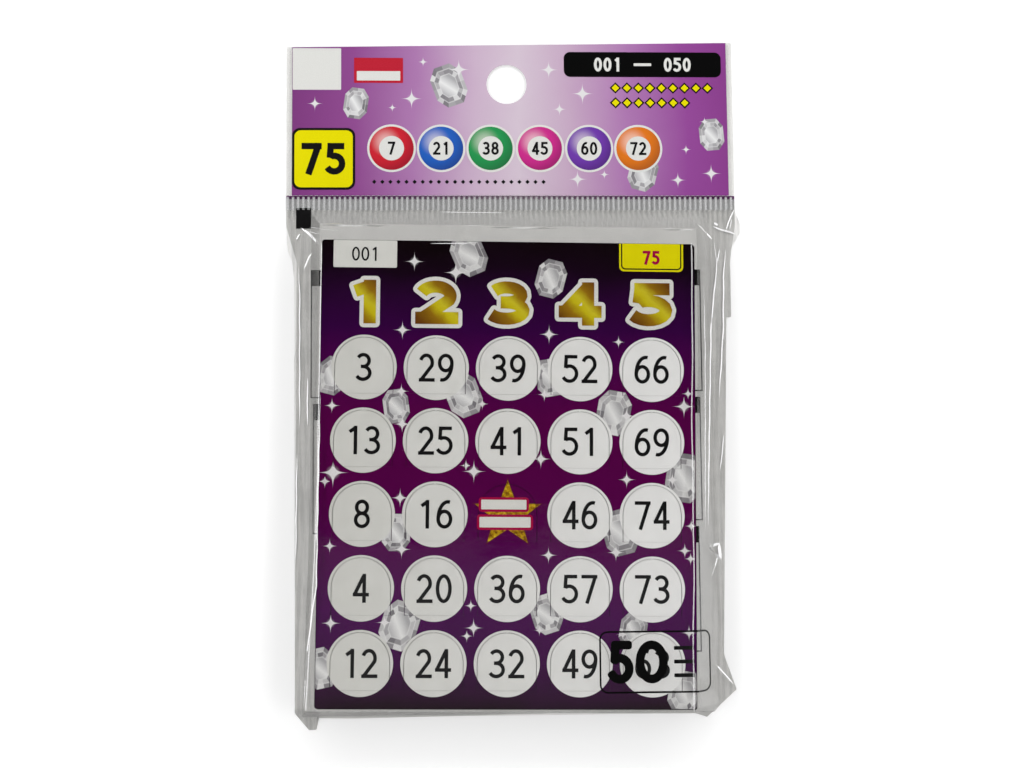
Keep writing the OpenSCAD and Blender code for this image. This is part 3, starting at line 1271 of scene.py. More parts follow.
class Figures:
    """Plain figures drawn as strokes in a box of width 1 and height 1."""

    SIX_STEM = arc((0.78, 0.31), (0.78, 0.69), 180, 78)
    STROKES = {
        "0": [(arc((0.5, 0.5), (0.5, 0.5), 0, 360, 28), 0)],
        "1": [([(0.66, 1.0), (0.66, 0.0)], 1), ([(0.18, 0.83), (0.66, 1.0)], 0)],
        "2": [(arc((0.46, 0.7), (0.48, 0.3), 160, -25) + [(0.04, 0.0)], 0), ([(0.0, 0.0), (1.0, 0.0)], 1)],
        "3": [
            (arc((0.44, 0.76), (0.47, 0.24), 150, -90), 0),
            (arc((0.42, 0.26), (0.56, 0.26), 90, -152), 0),
            ([(0.24, 0.52), (0.44, 0.52)], 0),
        ],
        "4": [
            ([(0.72, 1.0), (0.0, 0.25)], 0),
            ([(0.0, 0.25), (1.0, 0.25)], 1),
            ([(0.76, 1.0), (0.76, 0.0)], 1),
        ],
        "5": [
            ([(0.14, 1.0), (0.9, 1.0)], 1),
            ([(0.14, 1.0), (0.08, 0.54)], 0),
            ([(0.08, 0.54)] + arc((0.4, 0.31), (0.58, 0.31), 118, -152), 0),
        ],
        "6": [(arc((0.5, 0.31), (0.5, 0.31), 0, 360, 24), 0), (SIX_STEM, 0)],
        "7": [([(0.0, 1.0), (1.0, 1.0)], 1), ([(0.96, 0.98), (0.34, 0.0)], 1)],
        "8": [
            (arc((0.5, 0.76), (0.43, 0.24), 0, 360, 24), 0),
            (arc((0.5, 0.26), (0.5, 0.26), 0, 360, 24), 0),
        ],
        "9": [
            (arc((0.5, 0.69), (0.5, 0.31), 0, 360, 24), 0),
            ([(1 - x, 1 - y) for x, y in SIX_STEM], 0),
        ],
    }

    def __init__(
        self, height: float, stroke: float = 0.125, width: float = 0.56, step: float = 0.665
    ) -> None:
        """Sets the figures' style.

        Args:
            height: Height of a figure in millimetres.
            stroke: Stroke width as a share of the height.
            width: Width of a figure as a share of the height.
            step: Distance from one figure to the next as a share of the height.
        """
        self.height = height
        self.stroke = stroke * height
        self.width = width * height
        self.step = step * height

    def faces(self, text: str) -> list[list[Point]]:
        """Quads of a run of figures, centred on its middle.

        Args:
            text: Digits.

        Returns:
            Quads that overlap where strokes meet.
        """
        quads = []
        inner_w, inner_h = self.width - self.stroke, self.height - self.stroke
        for index, digit in enumerate(text):
            left = (index - (len(text) - 1) / 2) * self.step - inner_w / 2
            for path, square in self.STROKES[digit]:
                line = [(left + x * inner_w, (y - 0.5) * inner_h) for x, y in path]
                quads += ribbon(line, self.stroke, square * self.stroke / 2)
        return quads

    def mesh(self, text: str, grow: float = 0.0) -> Mesh:
        """Makes a run of figures as a thin closed plate.

        Args:
            text: Digits.
            grow: How far the outline is grown with round corners, in millimetres.

        Returns:
            Mesh in millimetres.
        """
        faces = self.faces(text)
        if grow:
            for face in self.faces(text):
                for start, end in zip(face, face[1:] + face[:1]):
                    if math.dist(start, end) > 1e-4:
                        faces += ribbon([start, end], 2 * grow, 0.0)
                    faces.append(arc(start, (grow, grow), 15, 345, 11))
        return region_mesh(faces)


def rounded(x0: float, y0: float, x1: float, y1: float, radius: float, steps: int = 6) -> list[Point]:
    """Gives the outline of a rectangle with rounded corners.

    Args:
        x0: Left side.
        y0: Lower side.
        x1: Right side.
        y1: Upper side.
        radius: Corner radius.
        steps: Segments in a corner.

    Returns:
        Points anticlockwise.
    """
    loop = []
    corners = ((x1, y1, 0), (x0, y1, 1), (x0, y0, 2), (x1, y0, 3))
    for x, y, quarter in corners:
        centre_x = x - math.copysign(radius, x - (x0 + x1) / 2)
        centre_y = y - math.copysign(radius, y - (y0 + y1) / 2)
        for step in range(steps + 1):
            angle = (quarter + step / steps) * math.pi / 2
            loop.append((centre_x + radius * math.cos(angle), centre_y + radius * math.sin(angle)))
    return loop


def box_loop(x0: float, y0: float, x1: float, y1: float) -> list[Point]:
    """Gives the outline of a rectangle, anticlockwise."""
    return [(x0, y0), (x1, y0), (x1, y1), (x0, y1)]


def tab_loop(x0: float, y0: float, x1: float, y1: float, radius: float) -> list[Point]:
    """Gives the outline of a tab: square corners above and round ones below.

    Args:
        x0: Left side.
        y0: Lower side.
        x1: Right side.
        y1: Upper side.
        radius: Radius of the lower corners.

    Returns:
        Points anticlockwise.
    """
    left = arc((x0 + radius, y0 + radius), (radius, radius), 180, 270, 6)
    right = arc((x1 - radius, y0 + radius), (radius, radius), 270, 360, 6)
    return [(x1, y1), (x0, y1), *left, *right]


def resample(loop: Sequence[Point], gap: float) -> list[Point]:
    """Splits the sides of a closed loop so that no step is longer than the gap.

    Args:
        loop: Closed outline.
        gap: Longest step.

    Returns:
        Denser outline.
    """
    dense = []
    for (x0, y0), (x1, y1) in zip(loop, [*loop[1:], loop[0]]):
        steps = max(1, math.ceil(math.hypot(x1 - x0, y1 - y0) / gap))
        dense.extend((x0 + (x1 - x0) * k / steps, y0 + (y1 - y0) * k / steps) for k in range(steps))
    return dense


def thin_shell(outer: np.ndarray, wall: float) -> tuple[np.ndarray, np.ndarray]:
    """Closes a grid of points into a thin shell.

    Args:
        outer: Points of the upper face, rows by columns by 3.
        wall: Thickness, downwards.

    Returns:
        Points and quads of the shell.
    """
    upper = outer.reshape(-1, 3)
    lower = upper - np.array([0.0, 0.0, wall])
    shift = len(upper)
    index = np.arange(shift).reshape(outer.shape[:2])
    corners = [index[:-1, :-1], index[:-1, 1:], index[1:, 1:], index[1:, :-1]]
    quads = np.stack(corners, axis=-1).reshape(-1, 4)
    border = np.concatenate([index[0, :-1], index[:-1, -1], index[-1, :0:-1], index[:0:-1, 0]])
    after = np.roll(border, -1)
    walls = np.stack([border + shift, after + shift, after, border], axis=-1)
    return np.concatenate([upper, lower]), np.concatenate([quads, quads[:, ::-1] + shift, walls])


def array_mesh(name: str, points: np.ndarray, faces: np.ndarray) -> Mesh:
    """Makes a mesh from arrays.

    Args:
        name: Mesh name.
        points: Points by 3.
        faces: Point numbers of each face.

    Returns:
        The mesh.
    """
    mesh = bpy.data.meshes.new(name)
    mesh.from_pydata(points.tolist(), [], faces.tolist())
    mesh.update()
    return mesh


def ring_mesh(outer: Sequence[Point], inner: Sequence[Point], gap: float) -> Mesh:
    """Makes a thin closed ring between two loops with as many points each, in short steps.

    Args:
        outer: Outer loop in millimetres, anticlockwise.
        inner: Inner loop.
        gap: Longest step along the ring.

    Returns:
        Mesh in millimetres.
    """
    edges = np.stack([np.array(inner), np.array(outer)], axis=1)
    rows = []
    for start, end in zip(edges, np.roll(edges, -1, axis=0)):
        steps = max(1, math.ceil(np.linalg.norm(end - start, axis=1).max() / gap))
        share = np.arange(steps)[:, None, None] / steps
        rows.append(start + (end - start) * share)
    band = np.concatenate([*rows, rows[0][:1]])
    upper = np.concatenate([band, np.full((len(band), 2, 1), INK_T)], axis=2)
    return array_mesh("ring", *thin_shell(upper, INK_T))


@dataclass(frozen=True)
class Row:
    """Row of equal flat prisms, in millimetres and radians.

    Attributes:
        count: Number of prisms.
        sides: Sides of a prism.
        start: Place of the first prism.
        step: Way from one prism to the next.
        reach: Corner radius along both directions.
        turn: Turn of each prism.
    """

    count: int
    sides: int
    start: Point
    step: Point
    reach: Point
    turn: float = 0.0


class RowTree:
    """Geometry Nodes tree that repeats one flat prism along a line."""

    SOCKETS = (
        ("Count", "NodeSocketInt"),
        ("Sides", "NodeSocketInt"),
        ("Start", "NodeSocketVector"),
        ("Step", "NodeSocketVector"),
        ("Turn", "NodeSocketVector"),
        ("Scale", "NodeSocketVector"),
        ("Material", "NodeSocketMaterial"),
    )

    def __init__(self, name: str) -> None:
        """Builds the tree with named inputs for its sizes.

        Args:
            name: Name of the node group.
        """
        self.tree = bpy.data.node_groups.new(name, "GeometryNodeTree")
        for label, kind in self.SOCKETS:
            self.tree.interface.new_socket(label, in_out="INPUT", socket_type=kind)
        self.tree.interface.new_socket("Geometry", in_out="OUTPUT", socket_type="NodeSocketGeometry")
        graph = Graph(self.tree)
        given = graph.add("NodeGroupInput").outputs
        line = graph.add(
            "GeometryNodeMeshLine",
            {"Count": given["Count"], "Start Location": given["Start"], "Offset": given["Step"]},
            mode="OFFSET",
        )
        shape = graph.add(
            "GeometryNodeMeshCone",
            {"Vertices": given["Sides"], "Radius Top": 1.0, "Radius Bottom": 1.0, "Depth": 1.0},
        )
        half_side = graph.math("DIVIDE", math.pi, given["Sides"])
        upright = graph.add("ShaderNodeCombineXYZ", {2: half_side}).outputs[0]
        straight = graph.add("GeometryNodeTransform", {"Geometry": shape.outputs[0], "Rotation": upright})
        copies = graph.add(
            "GeometryNodeInstanceOnPoints",
            {
                "Points": line.outputs[0],
                "Instance": straight.outputs[0],
                "Rotation": given["Turn"],
                "Scale": given["Scale"],
            },
        )
        real = graph.add("GeometryNodeRealizeInstances", {0: copies.outputs[0]})
        dressed = graph.add("GeometryNodeSetMaterial", {0: real.outputs[0], "Material": given["Material"]})
        graph.put(graph.add("NodeGroupOutput").inputs[0], dressed.outputs[0])

    def mesh(self, row: Row, ink: Material) -> Mesh:
        """Runs the tree for a row and keeps the result as a plain mesh.

        Args:
            row: Sizes of the row.
            ink: Finish.

        Returns:
            Mesh in millimetres.
        """
        values = {
            "Count": row.count,
            "Sides": row.sides,
            "Start": (*row.start, 0.0),
            "Step": (*row.step, 0.0),
            "Turn": (0.0, 0.0, row.turn),
            "Scale": (*row.reach, INK_T),
            "Material": ink,
        }
        source = bpy.data.objects.new("row", bpy.data.meshes.new("row"))
        modifier = source.modifiers.new("row", "NODES")
        modifier.node_group = self.tree
        for item in self.tree.interface.items_tree:
            if item.in_out == "INPUT":
                modifier[item.identifier] = values[item.name]
        return evaluated_mesh(source)


class Finishes:
    """All finishes of the pack, made once."""

    def __init__(self, layout: Layout) -> None:
        """Makes every material from its finish.

        Args:
            layout: Sizes of the pack.
        """
        header_rear = ClearFilm("header_rear_film", 0.97)
        seal = SealFilm("seal_film", 0.86, mirror=0.14, roughness=0.16)
        self.front_film = PouchFilm("front_film_clear", 0.985, layout=layout).make()
        self.back_film = ClearFilm("back_film_clear", 0.93).make()
        self.fold_film = ClearFilm("fold_film", 1.0, mirror=0.55, wrinkle=0.04).make()
        self.header_back = HeaderBack("header_backing", header_rear).make()
        self.crimp = CrimpFinish("ribbed_seal", layout, seal).make()
        self.header = HeaderPrint("header_print", header_rear).make()
        card_print = CardPrint("card_print", layout)
        self.card = card_print.make()
        self.inner_cards = CardStock("printed_board", card_print).make()
        self.stock = CardStock("white_board").make()
        self.black = Ink("black_ink", (24, 23, 24), (19, 18, 19)).make()
        self.film_black = Ink("film_ink", (9, 9, 9), (6, 6, 6)).make()
        self.white = Ink("white_ink", (228, 228, 224), (222, 222, 218)).make()
        self.yellow = Ink("yellow_ink", (235, 225, 8), (229, 218, 4)).make()
        self.red = Ink("red_ink", (192, 40, 58), (186, 34, 52)).make()
        self.crimson = Ink("crimson_ink", (170, 10, 70), (160, 6, 62)).make()
        self.gold = GoldInk("gold_ink", layout).make()


@dataclass
class CardStack:
    """Front card with its number flaps, the heading above them and the cards below."""

    layout: Layout
    finishes: Finishes
    figure_h: float = 6.8
    serial_h: float = 3.4
    numbers: tuple = (
        (3, 29, 39, 52, 66),
        (13, 25, 41, 51, 69),
        (8, 16, 0, 46, 74),
        (4, 20, 36, 57, 73),
        (12, 24, 32, 49, 63),
    )
    label_box: tuple = (-42.3, 49.1, -27.0, 55.74)
    tab_box: tuple = (26.8, 48.9, 42.4, 55.74)

    def dress(self) -> None:
        """Gives the CAD cards and flaps their board and print."""
        for name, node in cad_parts.items():
            if name == "front_card" or name.startswith("flap_"):
                cover(node, self.finishes.card)
            elif name.startswith("card_bundle"):
                cover(node, self.finishes.inner_cards)
            elif name == "last_card":
                cover(node, self.finishes.stock)

    def build(self) -> None:
        """Builds the printed figures, heading, label and tab."""
        self._numbers()
        self._free_bands()
        self._heading()
        self._label()
        self._tab()

    def _lay(self, name: str, mesh: Mesh, at: Point, layer: int, ink: Material) -> Object:
        """Lays a flat mesh on the card.

        Args:
            name: Piece name.
            mesh: Mesh in millimetres round its own middle.
            at: Place on the card.
            layer: How many ink layers lie under it.
            ink: Finish.

        Returns:
            The placed object.
        """
        shift = Matrix.Translation((*at, 0.0))
        mesh.transform(self.layout.on_card(layer * INK_T) @ shift)
        return mesh_object(name, mesh, ink)

    def _numbers(self) -> None:
        """Prints each flap's number, on the flap's own body."""
        for row, values in enumerate(self.numbers, 1):
            for column, value in enumerate(values, 1):
                if value:
                    mesh = Figures(self.figure_h).mesh(str(value))
                    at = (self.layout.column_x(column), self.layout.row_y(row))
                    piece = self._lay(f"number_r{row}c{column}", mesh, at, 0, self.finishes.black)
                    settle(piece, f"flap_r{row}c{column}")

    def _free_bands(self) -> None:
        """Prints two bare bands across the free space's star, on its flap."""
        layers = ((0.0, self.finishes.crimson), (0.6, self.finishes.white))
        for name, x, y, wide, high in (("upper", -0.9, 2.4, 6.0, 1.75), ("lower", -0.6, -1.8, 6.7, 1.85)):
            at = (x, self.layout.row_y(3) + y)
            for layer, (inset, ink) in enumerate(layers):
                loop = rounded(inset - wide, inset - high, wide - inset, high - inset, 0.8 - inset)
                piece = self._lay(f"free_{name}_{layer + 1}", plate([loop]), at, layer, ink)
                settle(piece, "flap_r3c3")

    def _heading(self) -> None:
        """Prints a gold figure with a white outline over each column."""
        shape = Figures(self.layout.heading_h, 0.28, 0.98)
        layers = (("rim", 0.95, self.finishes.white), ("gold", 0.0, self.finishes.gold))
        for column in range(1, self.layout.columns + 1):
            at = (self.layout.column_x(column), self.layout.heading_y)
            for layer, (part, grow, ink) in enumerate(layers):
                mesh = shape.mesh(str(column), grow)
                piece = self._lay(f"heading_{column}_{part}", mesh, at, layer, ink)
                settle(piece, Body.CARDS.value)

    def _label(self) -> None:
        """Prints the pale label with a plain number at the card's top left."""
        x0, y0, x1, y1 = self.label_box
        middle = ((x0 + x1) / 2, (y0 + y1) / 2)
        wide, high = (x1 - x0) / 2, (y1 - y0) / 2
        layers = (
            ("label_ground", plate([rounded(-wide, -high, wide, high, 0.3)]), self.finishes.white),
            ("label_number", Figures(self.serial_h).mesh("001"), self.finishes.black),
        )
        for layer, (name, mesh, ink) in enumerate(layers):
            settle(self._lay(name, mesh, middle, layer, ink), Body.CARDS.value)

    def _tab(self) -> None:
        """Prints the yellow tab with a fine black inner line and a plain number at the card's top right."""
        x0, y0, x1, y1 = self.tab_box
        layers = (
            ("tab_rim", 0.0, 1.2, self.finishes.yellow),
            ("tab_line", 0.45, 1.0, self.finishes.black),
            ("tab_ground", 0.75, 0.8, self.finishes.yellow),
        )
        for layer, (name, inset, radius, ink) in enumerate(layers):
            mesh = plate([tab_loop(x0 + inset, y0 + inset, x1 - inset, y1, radius)])
            settle(self._lay(name, mesh, (0.0, 0.0), layer, ink), Body.CARDS.value)
        middle = ((x0 + x1) / 2, (y0 + y1) / 2)
        mesh = Figures(self.serial_h, 0.2).mesh("75")
        number = self._lay("tab_number", mesh, middle, len(layers), self.finishes.crimson)
        settle(number, Body.CARDS.value)


@dataclass
class Header:
    """Printed header film with its badge, balls, bars and plates."""

    layout: Layout
    finishes: Finishes
    rows: RowTree
    ball_first: float = -29.7
    ball_pitch: float = 12.3
    ball_y: float = 57.4
    ball_r: float = 5.5
    ball_rim: float = 0.55
    ball_face: float = 3.1
    ball_figure: float = 3.3
    ball_sides: int = 48
    ball_colours: tuple = (
        (206, 38, 52),
        (38, 96, 190),
        (40, 150, 82),
        (206, 48, 140),
        (112, 60, 170),
        (226, 120, 30),
    )
    ball_numbers: tuple = (7, 21, 38, 45, 60, 72)
    badge_at: Point = (-46.5, 54.7)
    square_at: Point = (-48.2, 77.5)
    sign_at: Point = (-32.9, 77.2)
    bar_at: Point = (33.2, 78.9)
    bar_reach: float = 8.8

    def dress(self) -> None:
        """Gives the CAD header films and crimp their print and film."""
        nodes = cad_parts
        cover(nodes["header_front_film"], self.finishes.header)
        cover(nodes["header_back_film"], self.finishes.header_back)
        cover(nodes["crimp_seal"], self.finishes.crimp)

    def _lay(self, name: str, mesh: Mesh, at: Point, layer: int, ink: Material) -> None:
        """Lays a flat mesh on the header, on top of so many ink layers.

        Args:
            name: Piece name.
            mesh: Mesh in millimetres round its own middle.
            at: Place in the frame.
            layer: How many ink layers lie under it.
            ink: Finish.
        """
        shift = Matrix.Translation((*at, 0.0))
        mesh.transform(self.layout.on_header(layer * INK_T) @ shift)
        settle(mesh_object(name, mesh, ink), Body.HEADER.value)

    def build(self) -> None:
        """Builds everything printed on the header."""
        self._balls()
        self._badge()
        self._plates()
        self._bar()
        self._rules()

    def _balls(self) -> None:
        """Prints a row of numbered balls with white rims."""
        first, pitch, y = self.ball_first, self.ball_pitch, self.ball_y
        tint = BallInk("ball_ink", first, pitch, y, self.ball_r, self.ball_colours).make()
        rings = (
            ("ball_rims", self.ball_r + self.ball_rim, self.finishes.white),
            ("balls", self.ball_r, tint),
            ("ball_faces", self.ball_face, self.finishes.white),
        )
        for layer, (name, radius, ink) in enumerate(rings):
            reach = (radius, radius)
            row = Row(len(self.ball_numbers), self.ball_sides, (first, y), (pitch, 0.0), reach)
            self._lay(name, self.rows.mesh(row, ink), (0.0, 0.0), layer, ink)
        for index, number in enumerate(self.ball_numbers):
            mesh = Figures(self.ball_figure, 0.17).mesh(str(number))
            at = (first + index * pitch, y)
            self._lay(f"ball_number_{index + 1}", mesh, at, len(rings), self.finishes.black)

    def _badge(self) -> None:
        """Prints the yellow badge with a black rim and a plain number at the lower left."""
        layers = (
            ("badge_rim", plate([rounded(-7.8, -7.8, 7.8, 7.8, 2.0)]), self.finishes.black),
            ("badge_ground", plate([rounded(-7.2, -7.2, 7.2, 7.2, 1.6)]), self.finishes.yellow),
            ("badge_number", Figures(8.0, 0.2, 0.62, 0.74).mesh("75"), self.finishes.black),
        )
        for layer, (name, mesh, ink) in enumerate(layers):
            self._lay(name, mesh, self.badge_at, layer, ink)

    def _plates(self) -> None:
        """Prints the bare white square and the red sign with a white band at the upper left."""
        square = plate([rounded(-6.0, -5.3, 6.0, 5.3, 0.2)])
        sign = plate([rounded(-6.1, -3.2, 6.1, 3.2, 0.2)])
        band = plate([rounded(-5.4, -2.6, 5.4, -0.2, 0.15)])
        self._lay("white_square", square, self.square_at, 0, self.finishes.white)
        self._lay("sign_ground", sign, self.sign_at, 0, self.finishes.red)
        self._lay("sign_band", band, self.sign_at, 1, self.finishes.white)

    def _bar(self) -> None:
        """Prints the black bar with a plain run of numbers at the upper right."""
        x, y = self.bar_at
        ground = plate([rounded(-19.8, -3.2, 19.8, 3.2, 1.6)])
        dash = plate([rounded(-2.2, -0.35, 2.2, 0.35, 0.1)])
        figures = Figures(3.6, 0.19)
        self._lay("bar_ground", ground, self.bar_at, 0, self.finishes.film_black)
        self._lay("bar_first", figures.mesh("001"), (x - self.bar_reach, y), 1, self.finishes.white)
        self._lay("bar_dash", dash, self.bar_at, 1, self.finishes.white)
        self._lay("bar_last", figures.mesh("050"), (x + self.bar_reach, y), 1, self.finishes.white)

    def _rules(self) -> None:
        """Prints rows of small diamonds: one under the balls and two under the bar."""
        rules = (
            ("rule_low", 22, (-34.0, 48.9), 2.0, 0.55, self.finishes.black),
            ("rule_rim_1", 9, (26.3, 72.9), 2.9, 1.45, self.finishes.black),
            ("rule_rim_2", 7, (26.3, 69.1), 2.9, 1.45, self.finishes.black),
            ("rule_gem_1", 9, (26.3, 72.9), 2.9, 0.95, self.finishes.yellow),
            ("rule_gem_2", 7, (26.3, 69.1), 2.9, 0.95, self.finishes.yellow),
        )
        for name, count, start, pitch, reach, ink in rules:
            row = Row(count, 4, start, (pitch, 0.0), (reach, reach), math.pi / 4)
            self._lay(name, self.rows.mesh(row, ink), (0.0, 0.0), int("gem" in name), ink)


@dataclass(frozen=True)
class Brow:
    """Folded film edge over one side of the stack."""

    gap: float
    ledge: float
    facet: float
    facet_slope: float
    ledge_slope: float = 11.0
    sway: float = 0.0


@dataclass
class FrontFilm:
    """Clear front film: side welds, slopes, brows over the stack's edges, loose ears and slow waves."""

    layout: Layout
    finishes: Finishes
    top: float = 10.49
    base: float = 0.12
    wall: float = 0.06
    rim: float = 49.6
    half: float = 53.1
    wide: float = 55.7
    left_brow: Brow = Brow(0.6, 0.25, 0.32, 22.5, sway=-14.0)
    right_brow: Brow = Brow(0.6, 1.1, 0.38, 20.0, sway=-12.0)
    top_brow: Brow = Brow(1.3, 0.3, 0.4, 9.0, sway=10.5)
    bottom_brow: Brow = Brow(0.6, 0.3, 0.3, 12.0)
    sway_l: float = 41.5
    sway_x: float = 44.0
    card_end: float = 30.9
    bulge_y: float = -22.0
    bulge_l: float = 58.0
    brow_bulge: float = 1.9
    foot_bulge: float = 1.7
    fold_strip: float = 0.4
    crimp_strip: float = 0.3
    inner_band: float = 3.0
    left_ear: float = 1.6
    right_ear: float = 5.6
    ink_gap: float = 0.005
    waves: tuple = (
        (0.021, 34.0, 20.0, 0.4),
        (0.018, 23.0, 75.0, 1.9),
        (0.012, 15.0, 130.0, 3.1),
        (0.014, 47.0, 100.0, 5.0),
    )

    def _edge_lines(self, x: np.ndarray, y: np.ndarray) -> dict[str, np.ndarray]:
        """Places of the four brows and the slopes' feet.

        Args:
            x: Sideways places.
            y: Lengthways places.

        Returns:
            Left, right, bottom and top lines, and the left foot.
        """
        lay = self.layout
        lean = -math.sin(math.radians(lay.turn))
        off_y = (y - lay.stack_y) * lean
        off_x = (x - lay.stack_x) * lean
        bulge = np.clip((self.bulge_y - y) / self.bulge_l, 0.0, 1.0) ** 1.4
        wobble = 0.12 * np.sin(y / 9.0) + 0.08 * np.sin(y / 4.1 + 1.0)
        half_w, half_h = lay.card_w / 2, lay.card_h / 2
        left = lay.stack_x - half_w - self.left_brow.gap + off_y
        return {
            "left": left - self.brow_bulge * bulge + 0.3 * wobble,
            "right": lay.stack_x + half_w + self.right_brow.gap + off_y + wobble,
            "bottom": lay.stack_y - half_h - self.bottom_brow.gap - off_x,
            "top": lay.stack_y + half_h + lay.travel + self.top_brow.gap - off_x,
            "foot": -self.rim - self.foot_bulge * bulge,
        }

    def _outer_right(self, y: np.ndarray) -> np.ndarray:
        """Right edge of the film, with its bulge below the crimp, the weld's step and the ear.

        Args:
            y: Lengthways places.

        Returns:
            Sideways places.
        """
        top, low = self.layout.crimp_y, self.layout.fold_y
        places = (low, low + 5.6, low + 14.0, top - 27.1, top - 26.9, top - 10.0, top - 5.8, top - 3.6, top)
        values = (50.0, 53.6, 50.7, 53.1, 54.3, 54.5, 57.0, 57.0, self.wide)
        return np.interp(y, places, values)

    def _outer_left(self, y: np.ndarray) -> np.ndarray:
        """Left edge of the film, with a nick in the weld.

        Args:
            y: Lengthways places.

        Returns:
            Sideways places.
        """
        top, low = self.layout.crimp_y, self.layout.fold_y
        drops = (35.6, 35.2, 34.6, 17.0, 13.0, 10.5, 4.0, 0.0)
        places = (low, *(top - drop for drop in drops))
        values = (self.half, 53.6, 52.9, 53.5, 53.7, 54.2, 55.3, self.wide, self.wide)
        return -np.interp(y, places, values)

    def _ear_drop(self, x: np.ndarray) -> np.ndarray:
        """How far the bottom edge rises above the fold; it hangs below it where negative.

        Args:
            x: Sideways places.

        Returns:
            Distances in millimetres.
        """
        places = (-53.1, -49.7, -47.9, -47.3, -40.0, 10.0, 43.5, 46.2, 50.0)
        values = (1.2, -2.8, -2.8, 0.0, -0.3, 0.5, 0.0, -0.9, 2.44)
        return np.interp(x, places, values)

    @staticmethod
    def _brow_height(
        brow: Brow, inside: np.ndarray, reach: np.ndarray, sway: np.ndarray, top: float, base: float
    ) -> np.ndarray:
        """Height of the film across one side, from its foot over the brow to the flat top.

        Args:
            brow: Shape of the folded edge.
            inside: Distance inside the edge line, negative on the slope.
            reach: Length of the slope on plan.
            sway: Value of -1 to 1 that makes the facet flatter or steeper.
            top: Height of the flat top.
            base: Height of the weld.

        Returns:
            Heights in millimetres.
        """
        facet_drop = brow.facet * np.tan(np.radians(brow.facet_slope + brow.sway * sway))
        ledge_drop = brow.ledge * math.tan(math.radians(brow.ledge_slope))
        edge = top - facet_drop - ledge_drop
        on_facet = top - np.clip((brow.ledge + brow.facet - inside) / brow.facet, 0, 1) * facet_drop
        on_ledge = on_facet - np.clip((brow.ledge - inside) / brow.ledge, 0, 1) * ledge_drop
        along = np.clip(1 + inside / np.maximum(reach, 0.2), 0, 1)
        on_slope = base + (edge - base) * (along + 0.3 * (along * along - along))
        return np.where(inside >= 0, on_ledge, on_slope)

    def height(self, x: np.ndarray, y: np.ndarray) -> np.ndarray:
        """Height of the film's outer face.

        Args:
            x: Sideways places in millimetres.
            y: Lengthways places in millimetres.

        Returns:
            Heights in millimetres.
        """
        lay = self.layout
        lines = self._edge_lines(x, y)
        beyond = np.clip((y - self.card_end) / 1.5, 0, 1)
        wave = np.cos(math.tau * (x - self.sway_x) / self.sway_l)
        sides = (
            (self.left_brow, x - lines["left"], lines["left"] - lines["foot"], beyond),
            (self.right_brow, lines["right"] - x, self.rim - lines["right"], beyond),
            (self.bottom_brow, y - lines["bottom"], lines["bottom"] - lay.fold_y - self.fold_strip, beyond),
            (self.top_brow, lines["top"] - y, lay.crimp_y - self.crimp_strip - lines["top"], wave),
        )
        height = np.full(np.shape(x), self.top)
        for brow, inside, reach, sway in sides:
            height = np.minimum(height, self._brow_height(brow, inside, reach, sway, self.top, self.base))
        rise = (height - self.base) / (self.top - self.base)
        return height + self._ripple(x, y) * (0.25 + 0.75 * rise)

    def _ripple(self, x: np.ndarray, y: np.ndarray) -> np.ndarray:
        """Slow waves of the loose film, never below zero.

        Args:
            x: Sideways places.
            y: Lengthways places.

        Returns:
            Heights in millimetres.
        """
        total = np.zeros(np.shape(x))
        for depth, length, angle, phase in self.waves:
            along = x * math.cos(math.radians(angle)) + y * math.sin(math.radians(angle))
            total = total + depth * (1 + np.sin(math.tau * along / length + phase))
        return total

    def _grid(self) -> tuple[np.ndarray, np.ndarray]:
        """Places of the mesh's points: lines follow the outline, the feet and the brows.

        Returns:
            Sideways and lengthways places, as two grids.
        """
        low, high = self.layout.fold_y, self.layout.crimp_y
        foot, head = low + self.fold_strip, high - self.crimp_strip
        row_stops = (low, foot, -80.0, -79.2, -76.0, 33.8, 34.4, 36.8, head, high)
        row_steps = (4, 10, 6, 6, 112, 3, 18, 22, 2)
        column_steps = (16, 10, 6, 5, 40, 5, 10, 26, 16)
        rows = self._breaks(row_stops, row_steps)
        columns = self._breaks(range(len(column_steps) + 1), column_steps)
        y, turn = np.meshgrid(rows, columns, indexing="ij")
        lines = self._edge_lines(np.zeros_like(y), y)
        left_in = lines["left"] + self.left_brow.ledge + self.left_brow.facet
        right_in = lines["right"] - self.right_brow.ledge - self.right_brow.facet
        stops = (
            self._outer_left(y),
            lines["foot"],
            lines["left"],
            left_in,
            left_in + self.inner_band,
            right_in - self.inner_band,
            right_in,
            lines["right"],
            np.full_like(y, self.rim),
            self._outer_right(y),
        )
        x = np.zeros_like(y)
        for index, (start, end) in enumerate(zip(stops, stops[1:])):
            share = np.clip(turn - index, 0, 1)
            x = np.where((turn >= index) & (turn <= index + 1), start + (end - start) * share, x)
        reach = np.where(x > 0, self.right_ear, self.left_ear)
        fade = np.clip(1 - (y - low) / reach, 0, 1)
        return x, y + self._ear_drop(x) * fade

    @staticmethod
    def _breaks(stops: Sequence[float], counts: Sequence[int]) -> np.ndarray:
        """Lines between stops, with so many steps in each stretch."""
        runs = [np.linspace(a, b, count, endpoint=False) for a, b, count in zip(stops, stops[1:], counts)]
        return np.concatenate([*runs, [stops[-1]]])

    def build(self) -> None:
        """Builds the film as one closed thin shell in place of the CAD film."""
        x, y = self._grid()
        points, faces = thin_shell(np.stack([x, y, self.height(x, y)], axis=-1), self.wall)
        mesh = array_mesh("front_film_sheet", points * MM, faces)
        piece = mesh_object("front_film_sheet", mesh, self.finishes.front_film)
        settle(piece, Body.POUCH.value)
        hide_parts("front_film")

